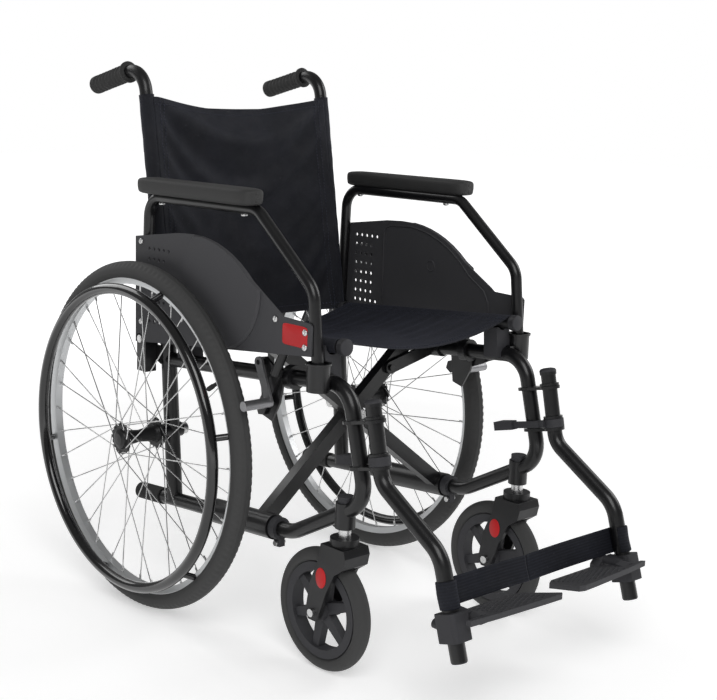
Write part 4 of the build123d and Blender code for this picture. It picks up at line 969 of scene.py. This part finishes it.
def fork_badges(name, side):
    """Plain oval badges on both legs of the caster fork."""
    badges = [plaque(mm(side * (203 + way * 26), 432, 162), (side * way, 0, 0), (0, 0, 1),
                     (0.0115, 0.0165), 0.0009, 2) for way in (1, -1)]
    ovals = dress(join_grids(f"fork_badges_{name}", badges), "label_face")
    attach(ovals, f"{name}_fork")


def panel_marks(name, side):
    """Raised edge of the boss on the panel's inner face, and the ring at its middle."""
    bend = np.radians(np.linspace(86, 42, 20))
    edge = [(66, 492), (66, 570), (66, 640), (71, 650), (82, 655)]
    edge += [(118 + 224 * math.cos(a), 434 + 224 * math.sin(a)) for a in bend]
    edge += [(322, 560), (334, 540), (337, 508)]
    ridge = sweep([mm(side * 242.3, *p) for p in edge], np.full(len(edge), 0.0016), 16, (side, 0, 0))
    small_part(f"panel_ridge_{name}", [ridge], "panel_plastic", f"{name}_armrest")
    turns = np.linspace(0, TAU, 9)[:-1]
    ring = [(0.0009 * math.sin(a), 0.0095 + 0.0012 * math.cos(a)) for a in turns]
    boss = lathe(mm(side * 242.6, 190, 590), (-side, 0, 0), ring + ring[:1], 48)
    small_part(f"panel_ring_{name}", [boss], "panel_plastic", f"{name}_armrest",
               closed_ends=False)


class WHEELCHAIR_OT_hardware(bpy.types.Operator):
    """Screws, labels, rail caps and tube plugs"""
    bl_idname = "wheelchair.hardware"
    bl_label = "Hardware"

    def execute(self, context):
        for name, side in SIDES:
            panel_screws(name, side)
            hanger_plugs(name, side)
            rail_caps(name, side)
            fork_badges(name, side)
            panel_marks(name, side)
        tag = plaque(mm(-245.5, 376, 537.0), (-1, 0, 0), (0, 0, 1), (0.029, 0.0165), 0.0006, 9)
        label = dress(join_grids("panel_label", [tag]), "label_face")
        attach(label, "right_armrest")
        return {"FINISHED"}


class WHEELCHAIR_OT_footplate_dots(bpy.types.Operator):
    """Rows of small raised dots on the footplates"""
    bl_idname = "wheelchair.footplate_dots"
    bl_label = "Footplate dots"

    def execute(self, context):
        for name, side in SIDES:
            square = (0, math.sin(PLATE_LEAN), math.cos(PLATE_LEAN))
            dots = []
            for i, across in enumerate(np.arange(46.0, 148.0, 9.0)):
                for ahead in np.arange(668.0 + (i % 2) * 4.5, 728.0, 9.0):
                    at = mm(side * across, ahead, 168.6 + (ahead - 682.2) * math.tan(PLATE_LEAN))
                    dots.append(lathe(at, square, [(0, 0.0024), (0.0012, 0.0020), (0.0018, 0.0008)], 8))
            small_part(f"footplate_dots_{name}", dots, "panel_plastic", f"{name}_plate")
        return {"FINISHED"}


class WHEELCHAIR_OT_finishes(bpy.types.Operator):
    """Materials of the whole chair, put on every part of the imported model"""
    bl_idname = "wheelchair.finishes"
    bl_label = "Finishes"

    def execute(self, context):
        make_finishes()
        slots = {p["node"]: p["material_slot"] for p in frame["record"]["subparts"]}
        for node, thing in frame["nodes"].items():
            finish = bpy.data.materials[SLOT_FINISH[slots[node]]]
            if not thing.material_slots:
                thing.data.materials.append(finish)
            for place in thing.material_slots:
                place.material = finish
        return {"FINISHED"}


# ---- studio ------------------------------------------------------------------------------
def lamp(name, place, aim, size, power):
    """Square soft light at place that faces aim."""
    light = bpy.data.lights.new(name, "AREA")
    light.shape = "SQUARE"
    light.size = size
    light.energy = power
    thing = bpy.data.objects.new(name, light)
    thing.location = place
    thing.rotation_euler = (Vector(place) - Vector(aim)).to_track_quat("Z", "Y").to_euler()
    bpy.context.scene.collection.objects.link(thing)


class WHEELCHAIR_OT_studio(bpy.types.Operator):
    """Flat pale floor, soft lights and the camera"""
    bl_idname = "wheelchair.studio"
    bl_label = "Studio"

    def execute(self, context):
        stage = context.scene.wheelchair_stage
        half = 14.0
        x = np.linspace(-half, half, 9)
        y = np.linspace(-half, half, 9)
        gx, gy = np.meshgrid(x, y, indexing="ij")
        floor = surface("floor", np.stack([gx, gy, np.zeros_like(gx)], axis=-1))
        f = Finish("studio_floor", 0.6, specular=0.2)
        pale = tuple(stage.floor)
        f.paint(f.tint(f.noise(0.6), shade(pale, 0.985), pale))
        f.shader.inputs["Emission Color"].default_value = (1, 1, 1, 1)
        away = f.add("ShaderNodeVectorMath", [("Vector", f.place())], operation="LENGTH").outputs["Value"]
        glow = f.span(away, stage.floor_glow, 1.0, start=1.6, stop=3.4)
        f.tree.links.new(glow, f.shader.inputs["Emission Strength"])
        dress(floor, "studio_floor")
        world = bpy.data.worlds.new("studio_air")
        world.use_nodes = True
        air = world.node_tree
        air.nodes["Background"].inputs["Color"].default_value = (1, 1, 1, 1)
        path = air.nodes.new("ShaderNodeLightPath")
        bright = air.nodes.new("ShaderNodeMapRange")
        bright.inputs["To Min"].default_value = stage.air
        bright.inputs["To Max"].default_value = 1.0
        air.links.new(path.outputs["Is Camera Ray"], bright.inputs["Value"])
        air.links.new(bright.outputs[0], air.nodes["Background"].inputs["Strength"])
        context.scene.world = world
        lamp("key", (-2.2, -2.6, 3.2), (0, 0, 0.4), 2.6, stage.key_power)
        lamp("fill_right", (3.0, -1.0, 2.2), (0, 0, 0.5), 2.2, stage.fill_power)
        lamp("fill_rear", (-0.6, 3.2, 2.6), (0, 0, 0.5), 2.4, stage.fill_power)
        a, e, roll = stage.azimuth, stage.elevation, math.radians(1.399)
        back = Vector((math.sin(a) * math.cos(e), -math.cos(a) * math.cos(e), math.sin(e)))
        right = (-back).cross(Vector((0, 0, 1))).normalized()
        up = right.cross(-back)
        right, up = right * math.cos(roll) + up * math.sin(roll), up * math.cos(roll) - right * math.sin(roll)
        axle = mm(0, 0, 0)
        camera = bpy.data.objects.new("camera", bpy.data.cameras.new("camera"))
        camera.data.lens = 67.92
        camera.data.sensor_width = 36.0
        camera.data.shift_x = 0.0837
        camera.data.shift_y = 0.0135
        camera.data.clip_end = 100.0
        rows = Matrix((right, up, back)).transposed().to_4x4()
        rows.translation = Vector((-1.569, axle[1] - 1.903, 0.904))
        camera.matrix_world = rows
        context.scene.collection.objects.link(camera)
        context.scene.camera = camera
        context.scene.view_settings.view_transform = "Standard"
        return {"FINISHED"}


class WHEELCHAIR_PT_panel(bpy.types.Panel):
    """Wheelchair looks in the sidebar"""
    bl_label = "Wheelchair"
    bl_idname = "WHEELCHAIR_PT_panel"
    bl_space_type = "VIEW_3D"
    bl_region_type = "UI"
    bl_category = "Wheelchair"

    def draw(self, context):
        for group in ("wheelchair_sizes", "wheelchair_colours", "wheelchair_stage"):
            holder = getattr(context.scene, group)
            box = self.layout.box()
            for key in holder.__annotations__:
                box.prop(holder, key)
        for operator in OPERATORS:
            self.layout.operator(operator.bl_idname)


GROUPS = (WheelchairSizes, WheelchairColours, WheelchairStage)
OPERATORS = (
    WHEELCHAIR_OT_studio, WHEELCHAIR_OT_finishes, WHEELCHAIR_OT_back_cloth, WHEELCHAIR_OT_seat_cloth,
    WHEELCHAIR_OT_calf_strap, WHEELCHAIR_OT_arm_pads, WHEELCHAIR_OT_grips, WHEELCHAIR_OT_rear_tyres,
    WHEELCHAIR_OT_hardware, WHEELCHAIR_OT_footplate_dots,
)


def register():
    """Adds the classes and the scene's settings."""
    for item in GROUPS + OPERATORS + (WHEELCHAIR_PT_panel,):
        bpy.utils.register_class(item)
    bpy.types.Scene.wheelchair_sizes = PointerProperty(type=WheelchairSizes)
    bpy.types.Scene.wheelchair_colours = PointerProperty(type=WheelchairColours)
    bpy.types.Scene.wheelchair_stage = PointerProperty(type=WheelchairStage)


def unregister():
    """Takes the settings and classes away again."""
    del bpy.types.Scene.wheelchair_stage
    del bpy.types.Scene.wheelchair_colours
    del bpy.types.Scene.wheelchair_sizes
    for item in reversed(GROUPS + OPERATORS + (WHEELCHAIR_PT_panel,)):
        bpy.utils.unregister_class(item)


def main():
    """Builds everything in order."""
    register()
    for operator in OPERATORS:
        group, action = operator.bl_idname.split(".")
        getattr(getattr(bpy.ops, group), action)()


if __name__ == "__main__":
    main()
